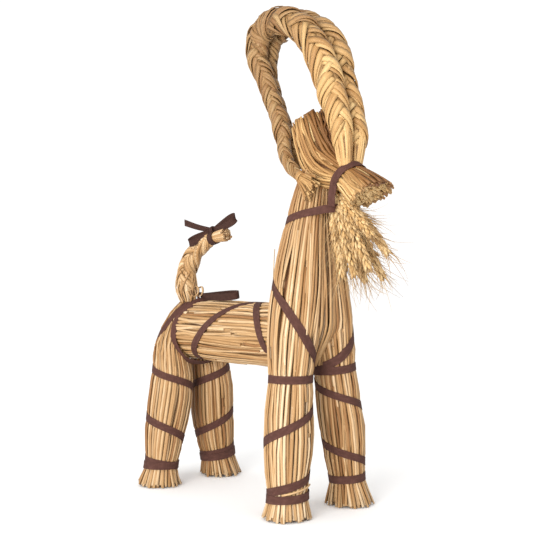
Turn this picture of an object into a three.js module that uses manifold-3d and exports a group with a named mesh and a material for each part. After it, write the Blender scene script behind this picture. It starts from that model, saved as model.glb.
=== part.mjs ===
// A straw Yule goat: bundles of straw tied with flat tape, plaited horns and tail, a beard of wheat ears.
// Millimetres, +Z up. The goat faces +X, its left side is +Y, and it stands on z = 0.
import * as THREE from 'three';
import { mergeVertices } from 'three/addons/utils/BufferGeometryUtils.js';
import Module from 'manifold-3d';

// Stance: where the feet stand along X, and the heights that the bundles share.
const FRONT_X = 67;
const LEG_SPACING = 245;
const HIND_X = FRONT_X - LEG_SPACING;
const NECK_TOP = 398;
const TRUNK_HEIGHT = 208;

// Straw crests round each bundle, and the grooves between them.
const LEG_CRESTS = 12;
const TRUNK_CRESTS = 14;
const GROOVE = 2.2;

// Tape, the gap that touching pieces keep, and the lift of a tape over the straw crests.
const TAPE_WIDTH = 9.5;
const TAPE_THICK = 1;
const GAP = 0.5;
const TAPE_LIFT = 1.3;
const MOST_SLANT = 0.8;

// One half of the front bundle: height, forward of the feet, out from the middle, half depth, half width.
const FRONT_HALF = [
  [0, 3, 54, 28, 28],
  [28, 2, 52, 23.5, 23.5],
  [90, -1, 47, 28, 27.5],
  [160, -7, 38, 25.5, 24],
  [215, -12, 29, 32, 29],
  [270, -14, 21, 34, 28],
  [350, -13, 11, 28, 20],
  [NECK_TOP, -5, 6, 20.5, 16],
];

// One half of the hind bundle: way along it, forward of the feet, out, height, half depth, half thickness.
const CREST_WAY = 268;
const HIND_HALF = [
  [0, 0, 55, 0, 27, 27],
  [28, 1, 52.5, 28, 21.5, 21.5],
  [80, 2, 46, 80, 26, 26],
  [132, 1, 40, 132, 27, 25],
  [180, -3, 36, 180, 22, 18],
  [220, -6, 24, 216, 16, 9],
  [CREST_WAY, -6, 0, 237.5, 15, 7],
];

// The trunk: place along X, radius. It is pinched under the hind bundle and ends inside the front one.
const TRUNK = [
  [HIND_X - 27, 21],
  [HIND_X + 6, 22],
  [HIND_X + 24, 34],
  [HIND_X + 60, 37.5],
  [HIND_X + 120, 38.5],
  [FRONT_X - 22, 38],
];

// The head: way along it, forward of the front feet, out from the middle, height, radius twice.
const SNOUT_TIE = 90;
const HEAD = [
  [0, -8, 0, 461, 25.5, 25.5],
  [24, 2, 0, 440, 25.5, 25.5],
  [52, 20, 0, 418, 23.5, 23.5],
  [SNOUT_TIE, 50, 0, 396, 19, 19],
  [134, 88, 0, 374, 23.5, 23.5],
];

// A horn: way along it, forward of the front feet, out from the middle, height, half width, half depth.
const HORN = [
  [0, 51, 8, 402, 7.5, 8],
  [64, 48, 13.5, 467, 12.5, 14],
  [102, 36, 13.5, 505, 12.5, 16],
  [160, 8, 13.5, 556, 12, 17],
  [222, -42, 13, 591, 11.5, 16],
  [268, -87, 12, 588, 10.5, 14.5],
  [304, -101, 10, 556, 9, 12.5],
  [348, -88, 8.5, 514, 8, 10],
  [406, -62, 8, 462, 7.5, 9],
  [442, -49, 10, 431, 6.5, 8],
  [476, -27, 19.5, 411, 5.5, 7],
  [506, -3, 26.5, 396, 4, 5.5],
  [522, 6.5, 28, 387, 4.5, 9],
];
const HORN_PLAIT = 78;
const HORN_STEPS = 76;

// The tail: way along it, forward of the front feet, out from the middle, height, half width, half depth.
const TAIL_TIE = 120;
const TAIL = [
  [0, -250, 0, 245, 8, 8],
  [22, -255, 0, 266, 12, 13],
  [46, -254, 0, 289, 12, 13],
  [72, -240, 0, 310, 10.5, 12],
  [100, -214, 0, 323.5, 8.5, 9],
  [TAIL_TIE, -196, 0, 330, 7, 7],
  [150, -167, 0, 334, 9, 9.5],
];
const TAIL_PLAIT = 66;
const TAIL_STEPS = 24;

// A plait's strand, as a share of the plait's half width, and the number of strands.
const STRANDS = 3;
const STRAND_SHARE = 0.68;
const PLAIT_SIDES = 8;

// The beard: its ears fan out from a point behind the snout tie. Way along an ear, then its radius.
const EARS = 8;
const EAR_FAN = new THREE.Vector3(FRONT_X + 24.5, 0, 382.5);
const EAR_PITCH = 32;
const EAR_PITCH_STEP = 7;
const EAR_YAW = 9;
const EAR_YAW_STEP = 2.5;
const EAR_RADIUS = [
  [20, 1.2],
  [46, 1.6],
  [53, 5.4],
  [65, 6.4],
  [77, 7.8],
  [92, 6.4],
  [113, 2.4],
  [137, 0.5],
];

// Tapes on the legs: turns from +X, anticlockwise from above, then height on the leg.
const FRONT_TAPE_RIGHT = [
  [1.22, 158],
  [0.63, 158],
  [0.13, 127],
  [-0.37, 85],
  [-0.87, 50],
  [-1.37, 31],
  [-1.87, 20],
  [-2.4, 18],
];
const FRONT_TAPE_LEFT = [
  [-1.3, 158],
  [-0.75, 158],
  [-0.37, 148],
  [0.13, 121],
  [0.63, 78],
  [1.13, 52],
  [1.63, 34],
  [2.2, 27],
];
const HIND_TAPE_RIGHT = [
  [-0.6, 160],
  [-0.37, 156],
  [0.13, 131],
  [0.63, 92],
  [1.13, 61],
  [1.63, 36],
  [2.1, 27],
  [2.5, 25],
];
const HIND_TAPE_LEFT = [
  [0.5, 165],
  [0.13, 155],
  [-0.37, 127],
  [-0.87, 91],
  [-1.37, 59],
  [-1.87, 40],
  [-2.3, 30],
  [-2.7, 28],
];

// Tapes round the front bundle: the chest's rises from the crotch to the withers, the neck's to the front.
const CHEST_FRONT_RIGHT = 200;
const CHEST_FRONT_LEFT = 191;
const CHEST_WITHERS = 288;
const NECK_TIE = 350;
const NECK_TIE_RISE = 8;

// Tapes on the trunk: turns from +Y towards the top, then place along X.
const TRUNK_FRONT_TAPE = [
  [-0.12, FRONT_X - 54],
  [0.25, FRONT_X - 105],
  [0.62, FRONT_X - 54],
];
const TRUNK_TAPE = [
  [0.31, FRONT_X - 122],
  [0.45, FRONT_X - 162],
  [0.61, FRONT_X - 203],
  [0.75, FRONT_X - 214],
  [1, FRONT_X - 214],
  [1.25, FRONT_X - 210],
  [1.4, FRONT_X - 221],
  [1.5, FRONT_X - 226],
];

// The snout's tape: turns from +Y towards the top, then way along the head.
const SNOUT_TAPE = [
  [-0.25, SNOUT_TIE + 5],
  [0.67, SNOUT_TIE + 5],
];

// Bows: a knot, a loop and free ends, all of the same tape, and the ring that holds the tail's end.
const KNOT = new THREE.Vector3(11, 11, 10.6);
const TAIL_KNOT = new THREE.Vector3(FRONT_X - 198, 0, 344);
const TAIL_LOOP = new THREE.Vector3(48, -4, 20);
const TAIL_ENDS = [new THREE.Vector3(-55, -6, 12), new THREE.Vector3(-44, -12, -10)];
const TAPE_UPRIGHT = new THREE.Vector3(0.2, -0.3, 0.93);
const RUMP_KNOT = new THREE.Vector3(HIND_X + 21, 0, 252);
const RUMP_LOOP = new THREE.Vector3(98, -18, -2);
const RUMP_ENDS = [new THREE.Vector3(-12, -24, 0)];
const LOOP_OPENING = 9;
const LOOP_STEPS = 7;
const RING_STEPS = 8;
const RING_RADIUS = 8.2;
const KNOT_ANGLE = 0.2;

const STRAW = { color: 0xd1ab7d, roughness: 0.62, metalness: 0 };
const GRAIN = { color: 0xd0a97b, roughness: 0.75, metalness: 0 };
const RIBBON = { color: 0x715149, roughness: 0.85, metalness: 0 };

const wasm = await Module();
wasm.setup();
const UP = new THREE.Vector3(0, 0, 1);
const AHEAD = new THREE.Vector3(1, 0, 0);
const LEFT = new THREE.Vector3(0, 1, 0);
const TURN = 2 * Math.PI;

// A smooth curve through rows of [key, ...values]: cubic pieces with slopes from the rows on each side.
function smoothRows(rows) {
  const slope = (i, column) => {
    const before = rows[Math.max(i - 1, 0)];
    const after = rows[Math.min(i + 1, rows.length - 1)];
    return (after[column] - before[column]) / (after[0] - before[0]);
  };
  return (key) => {
    const last = rows.length - 2;
    const found = rows.findIndex((row) => row[0] > key) - 1;
    const i = found < 0 ? (key < rows[0][0] ? 0 : last) : found;
    const span = rows[i + 1][0] - rows[i][0];
    const t = (key - rows[i][0]) / span;
    return rows[i].slice(1).map((start, k) => {
      const end = rows[i + 1][k + 1];
      const rise = slope(i, k + 1) * span;
      const settle = slope(i + 1, k + 1) * span;
      const bend = (2 * start - 2 * end + rise + settle) * t - 3 * start + 3 * end - 2 * rise - settle;
      return start + t * (rise + t * bend);
    });
  };
}

// A value that runs straight from row to row of [key, value].
function straightRows(rows, key) {
  const rising = rows[rows.length - 1][0] > rows[0][0];
  const found = rows.findIndex((row) => (rising ? row[0] > key : row[0] < key));
  const i = found < 0 ? rows.length - 1 : Math.max(found, 1);
  const share = (key - rows[i - 1][0]) / (rows[i][0] - rows[i - 1][0]);
  return THREE.MathUtils.lerp(rows[i - 1][1], rows[i][1], share);
}

// A closed sweep: a capped cylinder whose vertices move to place(angle, share of length, share of rim).
function sweep(sides, steps, place) {
  const cylinder = new THREE.CylinderGeometry(1, 1, 1, sides, steps);
  cylinder.deleteAttribute('normal');
  cylinder.deleteAttribute('uv');
  const geometry = mergeVertices(cylinder);
  const position = geometry.attributes.position;
  for (let i = 0; i < position.count; i++) {
    const [x, y, z] = [position.getX(i), position.getY(i), position.getZ(i)];
    const angle = (Math.atan2(x, z) + TURN) % TURN;
    const point = place(angle, y + 0.5, Math.hypot(x, z));
    position.setXYZ(i, point.x, point.y, point.z);
  }
  return geometry;
}

// Radius lost to the groove between two crests.
function groove(angle, crests) {
  return GROOVE * (0.5 - 0.5 * Math.cos(crests * angle));
}

function toSolid(geometry) {
  return new wasm.Manifold(new wasm.Mesh({
    numProp: 3,
    vertProperties: new Float32Array(geometry.attributes.position.array),
    triVerts: new Uint32Array(geometry.index.array),
  }));
}

function toGeometry(solid) {
  const mesh = solid.getMesh();
  const geometry = new THREE.BufferGeometry();
  geometry.setAttribute('position', new THREE.BufferAttribute(mesh.vertProperties, 3));
  geometry.setIndex(new THREE.BufferAttribute(mesh.triVerts, 1));
  return geometry;
}

// Front bundle: two sweeps that are legs below and grow together into chest and neck.
const frontRows = smoothRows(FRONT_HALF);

function frontPoint(side, angle, height, lift) {
  const [ahead, out, deep, wide] = frontRows(height);
  const normal = new THREE.Vector3(Math.cos(angle) / deep, Math.sin(angle) / wide, 0).normalize();
  const skin = new THREE.Vector3(deep * Math.cos(angle), wide * Math.sin(angle), 0);
  return new THREE.Vector3(FRONT_X + ahead, side * out, height).add(skin).addScaledVector(normal, lift);
}

function frontHalf(side, sides, lift) {
  const steps = 14;
  return sweep(sides, steps, (angle, along, rim) => {
    const height = along * NECK_TOP;
    const [ahead, out] = frontRows(height);
    const middle = new THREE.Vector3(FRONT_X + ahead, side * out, height);
    return middle.lerp(frontPoint(side, angle, height, lift(angle)), rim);
  });
}

function frontBundle(sides, lift) {
  return toSolid(frontHalf(-1, sides, lift)).add(toSolid(frontHalf(1, sides, lift)));
}

// Hind bundle: one sweep from the right foot over the rump to the left foot.
const hindRows = smoothRows(HIND_HALF.concat(HIND_HALF.slice(0, -1).reverse().map(
  ([way, ahead, out, height, deep, thick]) => [2 * CREST_WAY - way, ahead, -out, height, deep, thick],
)));

function hindMiddle(way) {
  const [ahead, out, height] = hindRows(way);
  return new THREE.Vector3(HIND_X + ahead, -out, height);
}

function hindPoint(angle, way, lift) {
  const step = 1;
  const forward = hindMiddle(way + step).sub(hindMiddle(way - step));
  forward.x = 0;
  const outward = forward.normalize().cross(AHEAD);
  const [, , , deep, thick] = hindRows(way);
  const normal = new THREE.Vector3().addScaledVector(AHEAD, Math.cos(angle) / deep);
  normal.addScaledVector(outward, Math.sin(angle) / thick).normalize();
  return hindMiddle(way)
    .addScaledVector(AHEAD, deep * Math.cos(angle))
    .addScaledVector(outward, thick * Math.sin(angle))
    .addScaledVector(normal, lift);
}

function hindBundle() {
  const steps = 18;
  return sweep(2 * LEG_CRESTS, steps, (angle, along, rim) => {
    const way = along * 2 * CREST_WAY;
    const point = hindMiddle(way).lerp(hindPoint(angle, way, -groove(angle, LEG_CRESTS)), rim);
    const onFloor = along === 0 || along === 1;
    return onFloor ? point.setZ(0) : point;
  });
}

// Trunk bundle.
const trunkRows = smoothRows(TRUNK);

function trunkPoint(angle, x, lift) {
  const [radius] = trunkRows(x);
  const reach = radius + lift;
  return new THREE.Vector3(x, reach * Math.cos(angle), TRUNK_HEIGHT + reach * Math.sin(angle));
}

function trunkBundle(sides, lift) {
  const steps = 9;
  const rear = TRUNK[0][0];
  const front = TRUNK[TRUNK.length - 1][0];
  return sweep(sides, steps, (angle, along, rim) => {
    const x = THREE.MathUtils.lerp(rear, front, along);
    return new THREE.Vector3(x, 0, TRUNK_HEIGHT).lerp(trunkPoint(angle, x, lift(angle)), rim);
  });
}

// A bundle along a line in space: rows of way, ahead, out, height and two half sizes, sideways and upright.
function lineFrame(rows, side, way) {
  const at = (w) => {
    const [ahead, out, height] = rows(w);
    return new THREE.Vector3(FRONT_X + ahead, side * out, height);
  };
  const step = 0.5;
  const forward = at(way + step).sub(at(way - step)).normalize();
  const across = LEFT.clone().addScaledVector(forward, -forward.y).normalize();
  const over = new THREE.Vector3().crossVectors(forward, across);
  const [, , , wide, deep] = rows(way);
  return { middle: at(way), across, over, wide, deep };
}

const headRows = smoothRows(HEAD);

function headPoint(angle, way, lift) {
  const { middle, across, over, wide } = lineFrame(headRows, 1, way);
  const reach = wide + lift;
  return middle
    .addScaledVector(across, reach * Math.cos(angle))
    .addScaledVector(over, reach * Math.sin(angle));
}

function headBundle(sides, lift) {
  const steps = 8;
  const length = HEAD[HEAD.length - 1][0];
  return sweep(sides, steps, (angle, along, rim) => {
    const way = along * length;
    return lineFrame(headRows, 1, way).middle.lerp(headPoint(angle, way, lift(angle)), rim);
  });
}

// A plait: how far its three crossing strands reach from the middle line in each direction.
function plaitReach(angle, way, length, wide, deep, lift) {
  const strand = STRAND_SHARE * wide;
  let reach = 0;
  for (let k = 0; k < STRANDS; k++) {
    const phase = TURN * (way / length + k / STRANDS);
    const across = (wide - strand) * Math.sin(2 * phase);
    const over = (deep - strand) * Math.sin(phase);
    const ahead = across * Math.cos(angle) + over * Math.sin(angle);
    const aside = over * Math.cos(angle) - across * Math.sin(angle);
    const inside = strand * strand - aside * aside;
    if (inside > 0) {
      reach = Math.max(reach, ahead + Math.sqrt(inside));
    }
  }
  return reach + lift;
}

function plait(rows, side, steps, plaitLength, lift) {
  const smooth = smoothRows(rows);
  const length = rows[rows.length - 1][0];
  return sweep(PLAIT_SIDES, steps, (angle, along, rim) => {
    const way = along * length;
    const { middle, across, over, wide, deep } = lineFrame(smooth, side, way);
    const reach = rim * plaitReach(side * angle, way, plaitLength, wide, deep, lift);
    return middle
      .addScaledVector(across, reach * Math.cos(angle))
      .addScaledVector(over, reach * Math.sin(angle));
  });
}

// An ear of wheat: a bare stalk, a swelling of grains, and its bristles drawn together to a point.
function wheatEar(index) {
  const sides = 6;
  const side = index % 2 === 0 ? -1 : 1;
  const pitch = THREE.MathUtils.degToRad(EAR_PITCH + EAR_PITCH_STEP * index);
  const yaw = THREE.MathUtils.degToRad(side * (EAR_YAW + EAR_YAW_STEP * index));
  const forward = new THREE.Vector3(
    Math.cos(pitch) * Math.cos(yaw),
    Math.cos(pitch) * Math.sin(yaw),
    -Math.sin(pitch),
  );
  const across = new THREE.Vector3().crossVectors(UP, forward).normalize();
  const over = new THREE.Vector3().crossVectors(forward, across);
  const steps = EAR_RADIUS.length - 1;
  return sweep(sides, steps, (angle, along, rim) => {
    const [way, radius] = EAR_RADIUS[Math.round(along * steps)];
    return EAR_FAN.clone()
      .addScaledVector(forward, way)
      .addScaledVector(across, rim * radius * Math.cos(angle))
      .addScaledVector(over, rim * radius * Math.sin(angle));
  });
}

// A flat tape through stops of { low, high, lowOuter, highOuter }: its edges inside and outside.
function tape(stops) {
  const steps = stops.length - 1;
  const geometry = sweep(4, steps, (angle, along, rim) => {
    const { low, high, lowOuter, highOuter } = stops[Math.round(along * steps)];
    const corners = [low, high, highOuter, lowOuter];
    const corner = corners[Math.round(4 * angle / TURN) % 4];
    const middle = low.clone().add(highOuter).multiplyScalar(0.5);
    return middle.lerp(corner, rim);
  });
  const solid = toSolid(geometry);
  if (solid.volume() > 0) {
    return geometry;
  }
  geometry.setIndex(Array.from(geometry.index.array).reverse());
  return geometry;
}

// A tape on a bundle's skin: stops of [where, key], widened along the key as far as the tape slants.
function skinTape(stops, skin) {
  return tape(stops.map(([where, key], i) => {
    const [whereBefore, keyBefore] = stops[Math.max(i - 1, 0)];
    const [whereAfter, keyAfter] = stops[Math.min(i + 1, stops.length - 1)];
    const run = skin(whereBefore, keyBefore, 0).distanceTo(skin(whereAfter, keyAfter, 0));
    const slant = Math.min(Math.abs(keyAfter - keyBefore) / run, MOST_SLANT);
    const half = TAPE_WIDTH / 2 / Math.sqrt(1 - slant * slant);
    return {
      low: skin(where, key - half, TAPE_LIFT),
      high: skin(where, key + half, TAPE_LIFT),
      lowOuter: skin(where, key - half, TAPE_LIFT + TAPE_THICK),
      highOuter: skin(where, key + half, TAPE_LIFT + TAPE_THICK),
    };
  }));
}

// A tape wound from crest to crest: rows give the key for each turn.
function woundTape(rows, crests, skin) {
  const start = Math.round(rows[0][0] * crests);
  const end = Math.round(rows[rows.length - 1][0] * crests);
  const stops = [];
  for (let i = 0; i <= Math.abs(end - start); i++) {
    const turn = (start + Math.sign(end - start) * i) / crests;
    stops.push([turn * TURN, straightRows(rows, turn)]);
  }
  return skinTape(stops, skin);
}

function frontLegTape(side, rows) {
  return woundTape(rows, LEG_CRESTS, (angle, height, lift) => frontPoint(side, angle, height, lift));
}

function hindLegTape(side, rows) {
  return woundTape(rows, LEG_CRESTS, (angle, height, lift) => (
    side < 0 ? hindPoint(angle, height, lift) : hindPoint(-angle, 2 * CREST_WAY - height, lift)
  ));
}

// A tape round both halves of the front bundle, from the front of the right one to the front of the left one,
// with some crests more at each end.
function frontRoundTape(more, heightAt) {
  const halfway = LEG_CRESTS / 2;
  const stops = [];
  for (const side of [-1, 1]) {
    for (let i = 0; i <= halfway + more; i++) {
      const crest = side < 0 ? more - i : halfway - i;
      const angle = TURN * crest / LEG_CRESTS;
      stops.push([{ side, angle }, heightAt(side, angle)]);
    }
  }
  return skinTape(stops, ({ side, angle }, height, lift) => frontPoint(side, angle, height, lift));
}

// The tape that closes the tail's end, open at the top where the knot sits.
function tailRing() {
  const smooth = smoothRows(TAIL);
  const stops = [];
  for (let i = 0; i <= RING_STEPS; i++) {
    stops.push([Math.PI / 2 + KNOT_ANGLE + i * (TURN - 2 * KNOT_ANGLE) / RING_STEPS, TAIL_TIE]);
  }
  return toSolid(skinTape(stops, (angle, way, lift) => {
    const { middle, across, over } = lineFrame(smooth, 1, way);
    const reach = RING_RADIUS + lift;
    return middle
      .addScaledVector(across, reach * Math.cos(angle))
      .addScaledVector(over, reach * Math.sin(angle));
  }));
}

// Tape laid free through points, standing nearly on its edge.
function freeTape(points) {
  const half = TAPE_UPRIGHT.clone().normalize().multiplyScalar(TAPE_WIDTH / 2);
  const stops = points.map((point, i) => {
    const before = points[Math.max(i - 1, 0)];
    const after = points[Math.min(i + 1, points.length - 1)];
    const normal = new THREE.Vector3().subVectors(after, before).cross(half).normalize();
    const inner = point.clone().addScaledVector(normal, -TAPE_THICK / 2);
    const outer = point.clone().addScaledVector(normal, TAPE_THICK / 2);
    return {
      low: inner.clone().sub(half),
      high: inner.clone().add(half),
      lowOuter: outer.clone().sub(half),
      highOuter: outer.clone().add(half),
    };
  });
  return toSolid(tape(stops));
}

function bow(knot, loop, ends) {
  const box = new THREE.BoxGeometry(KNOT.x, KNOT.y, KNOT.z).translate(knot.x, knot.y, knot.z);
  box.deleteAttribute('normal');
  box.deleteAttribute('uv');
  const open = new THREE.Vector3().crossVectors(loop, TAPE_UPRIGHT).normalize().multiplyScalar(LOOP_OPENING);
  const looped = [];
  for (let i = 0; i <= LOOP_STEPS; i++) {
    const t = i / LOOP_STEPS;
    const point = knot.clone().addScaledVector(loop, Math.sin(Math.PI * t));
    looped.push(point.addScaledVector(open, Math.sin(TURN * t)));
  }
  let solid = toSolid(mergeVertices(box)).add(freeTape(looped));
  for (const end of ends) {
    solid = solid.add(freeTape([knot, knot.clone().addScaledVector(end, 0.5), knot.clone().add(end)]));
  }
  return solid;
}

const goat = new THREE.Group();
goat.name = 'straw_goat';

function addPiece(name, geometry, finish) {
  const mesh = new THREE.Mesh(geometry, new THREE.MeshStandardMaterial(finish));
  mesh.name = name;
  goat.add(mesh);
}

const legGroove = (angle) => -groove(angle, LEG_CRESTS);
const trunkGroove = (angle) => -groove(angle, TRUNK_CRESTS);
const room = () => GAP;

const headRoom = toSolid(headBundle(LEG_CRESTS, room));
const frontRoom = frontBundle(LEG_CRESTS, room);
const trunkRoom = toSolid(trunkBundle(TRUNK_CRESTS, room));

const front = frontBundle(2 * LEG_CRESTS, legGroove).subtract(headRoom);
const trunk = toSolid(trunkBundle(2 * TRUNK_CRESTS, trunkGroove)).subtract(frontRoom);
const hind = toSolid(hindBundle()).subtract(trunkRoom);
addPiece('front_bundle', toGeometry(front), STRAW);
addPiece('trunk_bundle', toGeometry(trunk), STRAW);
addPiece('hind_bundle', toGeometry(hind), STRAW);

let head = toSolid(headBundle(2 * LEG_CRESTS, legGroove));
for (const side of [-1, 1]) {
  head = head.subtract(toSolid(plait(HORN, side, HORN_STEPS, HORN_PLAIT, GAP)));
}
addPiece('head_bundle', toGeometry(head), STRAW);
addPiece('horn_right', plait(HORN, -1, HORN_STEPS, HORN_PLAIT, 0), STRAW);
addPiece('horn_left', plait(HORN, 1, HORN_STEPS, HORN_PLAIT, 0), STRAW);
addPiece('tail_braid', plait(TAIL, 1, TAIL_STEPS, TAIL_PLAIT, 0), STRAW);

addPiece('ribbon_front_leg_right', frontLegTape(-1, FRONT_TAPE_RIGHT), RIBBON);
addPiece('ribbon_front_leg_left', frontLegTape(1, FRONT_TAPE_LEFT), RIBBON);
addPiece('ribbon_hind_leg_right', hindLegTape(-1, HIND_TAPE_RIGHT), RIBBON);
addPiece('ribbon_hind_leg_left', hindLegTape(1, HIND_TAPE_LEFT), RIBBON);

function chestHeight(side, angle) {
  const start = side < 0 ? CHEST_FRONT_RIGHT : CHEST_FRONT_LEFT;
  return start + (CHEST_WITHERS - start) * side * angle / Math.PI;
}

function neckHeight(side, angle) {
  return NECK_TIE + NECK_TIE_RISE * Math.cos(angle);
}

addPiece('ribbon_chest', frontRoundTape(1, chestHeight), RIBBON);
addPiece('ribbon_neck', frontRoundTape(0, neckHeight), RIBBON);
addPiece('ribbon_snout', woundTape(SNOUT_TAPE, LEG_CRESTS, headPoint), RIBBON);
addPiece('ribbon_trunk_front', woundTape(TRUNK_FRONT_TAPE, TRUNK_CRESTS, trunkPoint), RIBBON);
addPiece('ribbon_trunk', woundTape(TRUNK_TAPE, TRUNK_CRESTS, trunkPoint), RIBBON);
addPiece('bow_tail', toGeometry(bow(TAIL_KNOT, TAIL_LOOP, TAIL_ENDS).add(tailRing())), RIBBON);
addPiece('bow_rump', toGeometry(bow(RUMP_KNOT, RUMP_LOOP, RUMP_ENDS)), RIBBON);

for (let i = 0; i < EARS; i++) {
  addPiece(`wheat_ear_${i + 1}`, wheatEar(i), GRAIN);
}

export default goat;
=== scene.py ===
"""A standing straw Yule goat: bundles of straw tied with woven tape, plaited horns and tail, a wheat beard.

All sizes are millimetres until a mesh is made. A mesh is in metres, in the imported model's own frame, where
the goat faces +X, its left side is +Y, and it stands on z = 0.
"""

from __future__ import annotations

import logging
import math
from abc import ABC, abstractmethod
from collections import defaultdict
from dataclasses import dataclass, field
from enum import Enum
from typing import Any, Callable, Sequence

import bmesh
import bpy
import numpy as np
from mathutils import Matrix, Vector
from numpy.typing import NDArray


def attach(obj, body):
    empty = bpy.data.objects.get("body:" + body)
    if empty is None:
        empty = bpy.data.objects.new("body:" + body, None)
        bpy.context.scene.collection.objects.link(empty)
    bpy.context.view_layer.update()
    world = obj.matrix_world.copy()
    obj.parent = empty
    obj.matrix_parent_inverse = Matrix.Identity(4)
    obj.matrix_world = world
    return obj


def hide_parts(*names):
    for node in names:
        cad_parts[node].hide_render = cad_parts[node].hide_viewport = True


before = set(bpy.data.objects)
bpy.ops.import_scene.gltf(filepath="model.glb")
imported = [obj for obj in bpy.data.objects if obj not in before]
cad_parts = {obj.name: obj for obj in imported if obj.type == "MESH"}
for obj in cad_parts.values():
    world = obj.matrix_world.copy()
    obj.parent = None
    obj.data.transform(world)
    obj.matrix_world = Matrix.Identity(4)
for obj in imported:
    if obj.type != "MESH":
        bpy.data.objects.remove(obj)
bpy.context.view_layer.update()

Array = NDArray[np.float64]
Indices = NDArray[np.int32]
Chance = np.random.Generator
Piece = bpy.types.Object
Material = bpy.types.Material
Pair = tuple[float, float]
Pairs = tuple[Pair, ...]
Point = tuple[float, float, float]
Colour = tuple[float, float, float]
Ramp = tuple[tuple[float, Colour], ...]
Rings = tuple[tuple[float, int], ...]
Table = tuple[tuple[float, ...], ...]

log = logging.getLogger("straw_goat")

MM = 0.001
TURN = 2.0 * math.pi
BODY = "root"

# Where the feet and the trunk's ends stand along X, and the heights of the trunk and of the neck's top.
FRONT_X = 67.0
HIND_X = FRONT_X - 245.0
TRUNK_REAR = HIND_X - 27.0
TRUNK_END = FRONT_X - 22.0
TRUNK_HEIGHT = 206.5
NECK_TOP = 398.0
# The ways along the hind bundle to its crest, along the head to its tie and along the tail to its tie.
CREST_WAY = 268.0
SNOUT_TIE = 90.0
TAIL_TIE = 120.0

AHEAD = np.array([1.0, 0.0, 0.0])
LEFT = np.array([0.0, 1.0, 0.0])
UP = np.array([0.0, 0.0, 1.0])


class Side(Enum):
    """The goat's own sides, as the sign of Y."""

    RIGHT = -1
    LEFT = 1


class Slot(Enum):
    """The record's material slots."""

    STRAW = "straw"
    GRAIN = "grain"
    RIBBON = "ribbon"


def unit(vectors: Array) -> Array:
    """Scales vectors to length one.

    Args:
        vectors: One vector, or rows of vectors.

    Returns:
        The same directions, each of length one.
    """
    return vectors / np.maximum(np.linalg.norm(vectors, axis=-1, keepdims=True), 1e-9)


def lengths(points: Array) -> Array:
    """Measures the way along a line of points.

    Args:
        points: Rows of points.

    Returns:
        The way to each point from the first one.
    """
    steps = np.linalg.norm(np.diff(points, axis=0), axis=1)
    return np.concatenate([[0.0], np.cumsum(steps)])


class Rows:
    """A smooth curve through rows of a key and its values, with slopes taken from the rows on each side."""

    def __init__(self, table: Sequence[Sequence[float]]) -> None:
        """Works out the slopes.

        Args:
            table: Rows of a rising key and its values.
        """
        self.table = np.array(table, dtype=float)
        count = len(self.table)
        before = np.maximum(np.arange(count) - 1, 0)
        after = np.minimum(np.arange(count) + 1, count - 1)
        rise = self.table[after] - self.table[before]
        self.slopes = rise[:, 1:] / rise[:, :1]

    def __call__(self, key: Array | float) -> Array:
        """Reads the curve.

        Args:
            key: One key or an array of keys.

        Returns:
            The values, in a last axis of their own.
        """
        key = np.asarray(key, dtype=float)
        keys = self.table[:, 0]
        i = np.clip(np.searchsorted(keys, key, side="right") - 1, 0, len(keys) - 2)
        span = (keys[i + 1] - keys[i])[..., None]
        t = (key - keys[i])[..., None] / span
        start, end = self.table[i, 1:], self.table[i + 1, 1:]
        rise, ending = self.slopes[i] * span, self.slopes[i + 1] * span
        bend = (2 * start - 2 * end + rise + ending) * t - 3 * start + 3 * end - 2 * rise - ending
        return start + t * (rise + t * bend)

    def columns(self, key: Array | float) -> Array:
        """Reads the curve at the given keys, with a first axis for its columns."""
        return np.moveaxis(self(key), -1, 0)


@dataclass(frozen=True)
class Tie:
    """A tape's way on a bundle: rows of turns round it and keys along it, and how much laps over itself."""

    rows: Pairs
    mirrored: bool = False
    girth: float = 26.0
    rounding: float = 12.0
    lap: float = 0.0

    def trace(self, step: float = 3.0) -> Array:
        """Follows the tape.

        Args:
            step: The length of a step.

        Returns:
            Rows of angle and key, with the corners between the given rows rounded off.
        """
        table = np.array(self.rows) * np.array([TURN, 1.0])
        if self.mirrored:
            table = table * np.array([-1.0, -1.0]) + np.array([0.0, 2 * CREST_WAY])
        way = lengths(table * np.array([self.girth, 1.0]))
        even = np.linspace(0.0, way[-1], max(int(way[-1] / step), 8) + 1)
        line = np.stack([np.interp(even, way, column) for column in table.T], axis=1)
        pad = min(max(round(self.rounding / step), 1), len(line) - 1)
        padded = np.concatenate([2 * line[0] - line[pad:0:-1], line, 2 * line[-1] - line[-2:-pad - 2:-1]])
        window = np.ones(2 * pad + 1) / (2 * pad + 1)
        return np.stack([np.convolve(column, window, mode="valid") for column in padded.T], axis=1)


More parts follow.
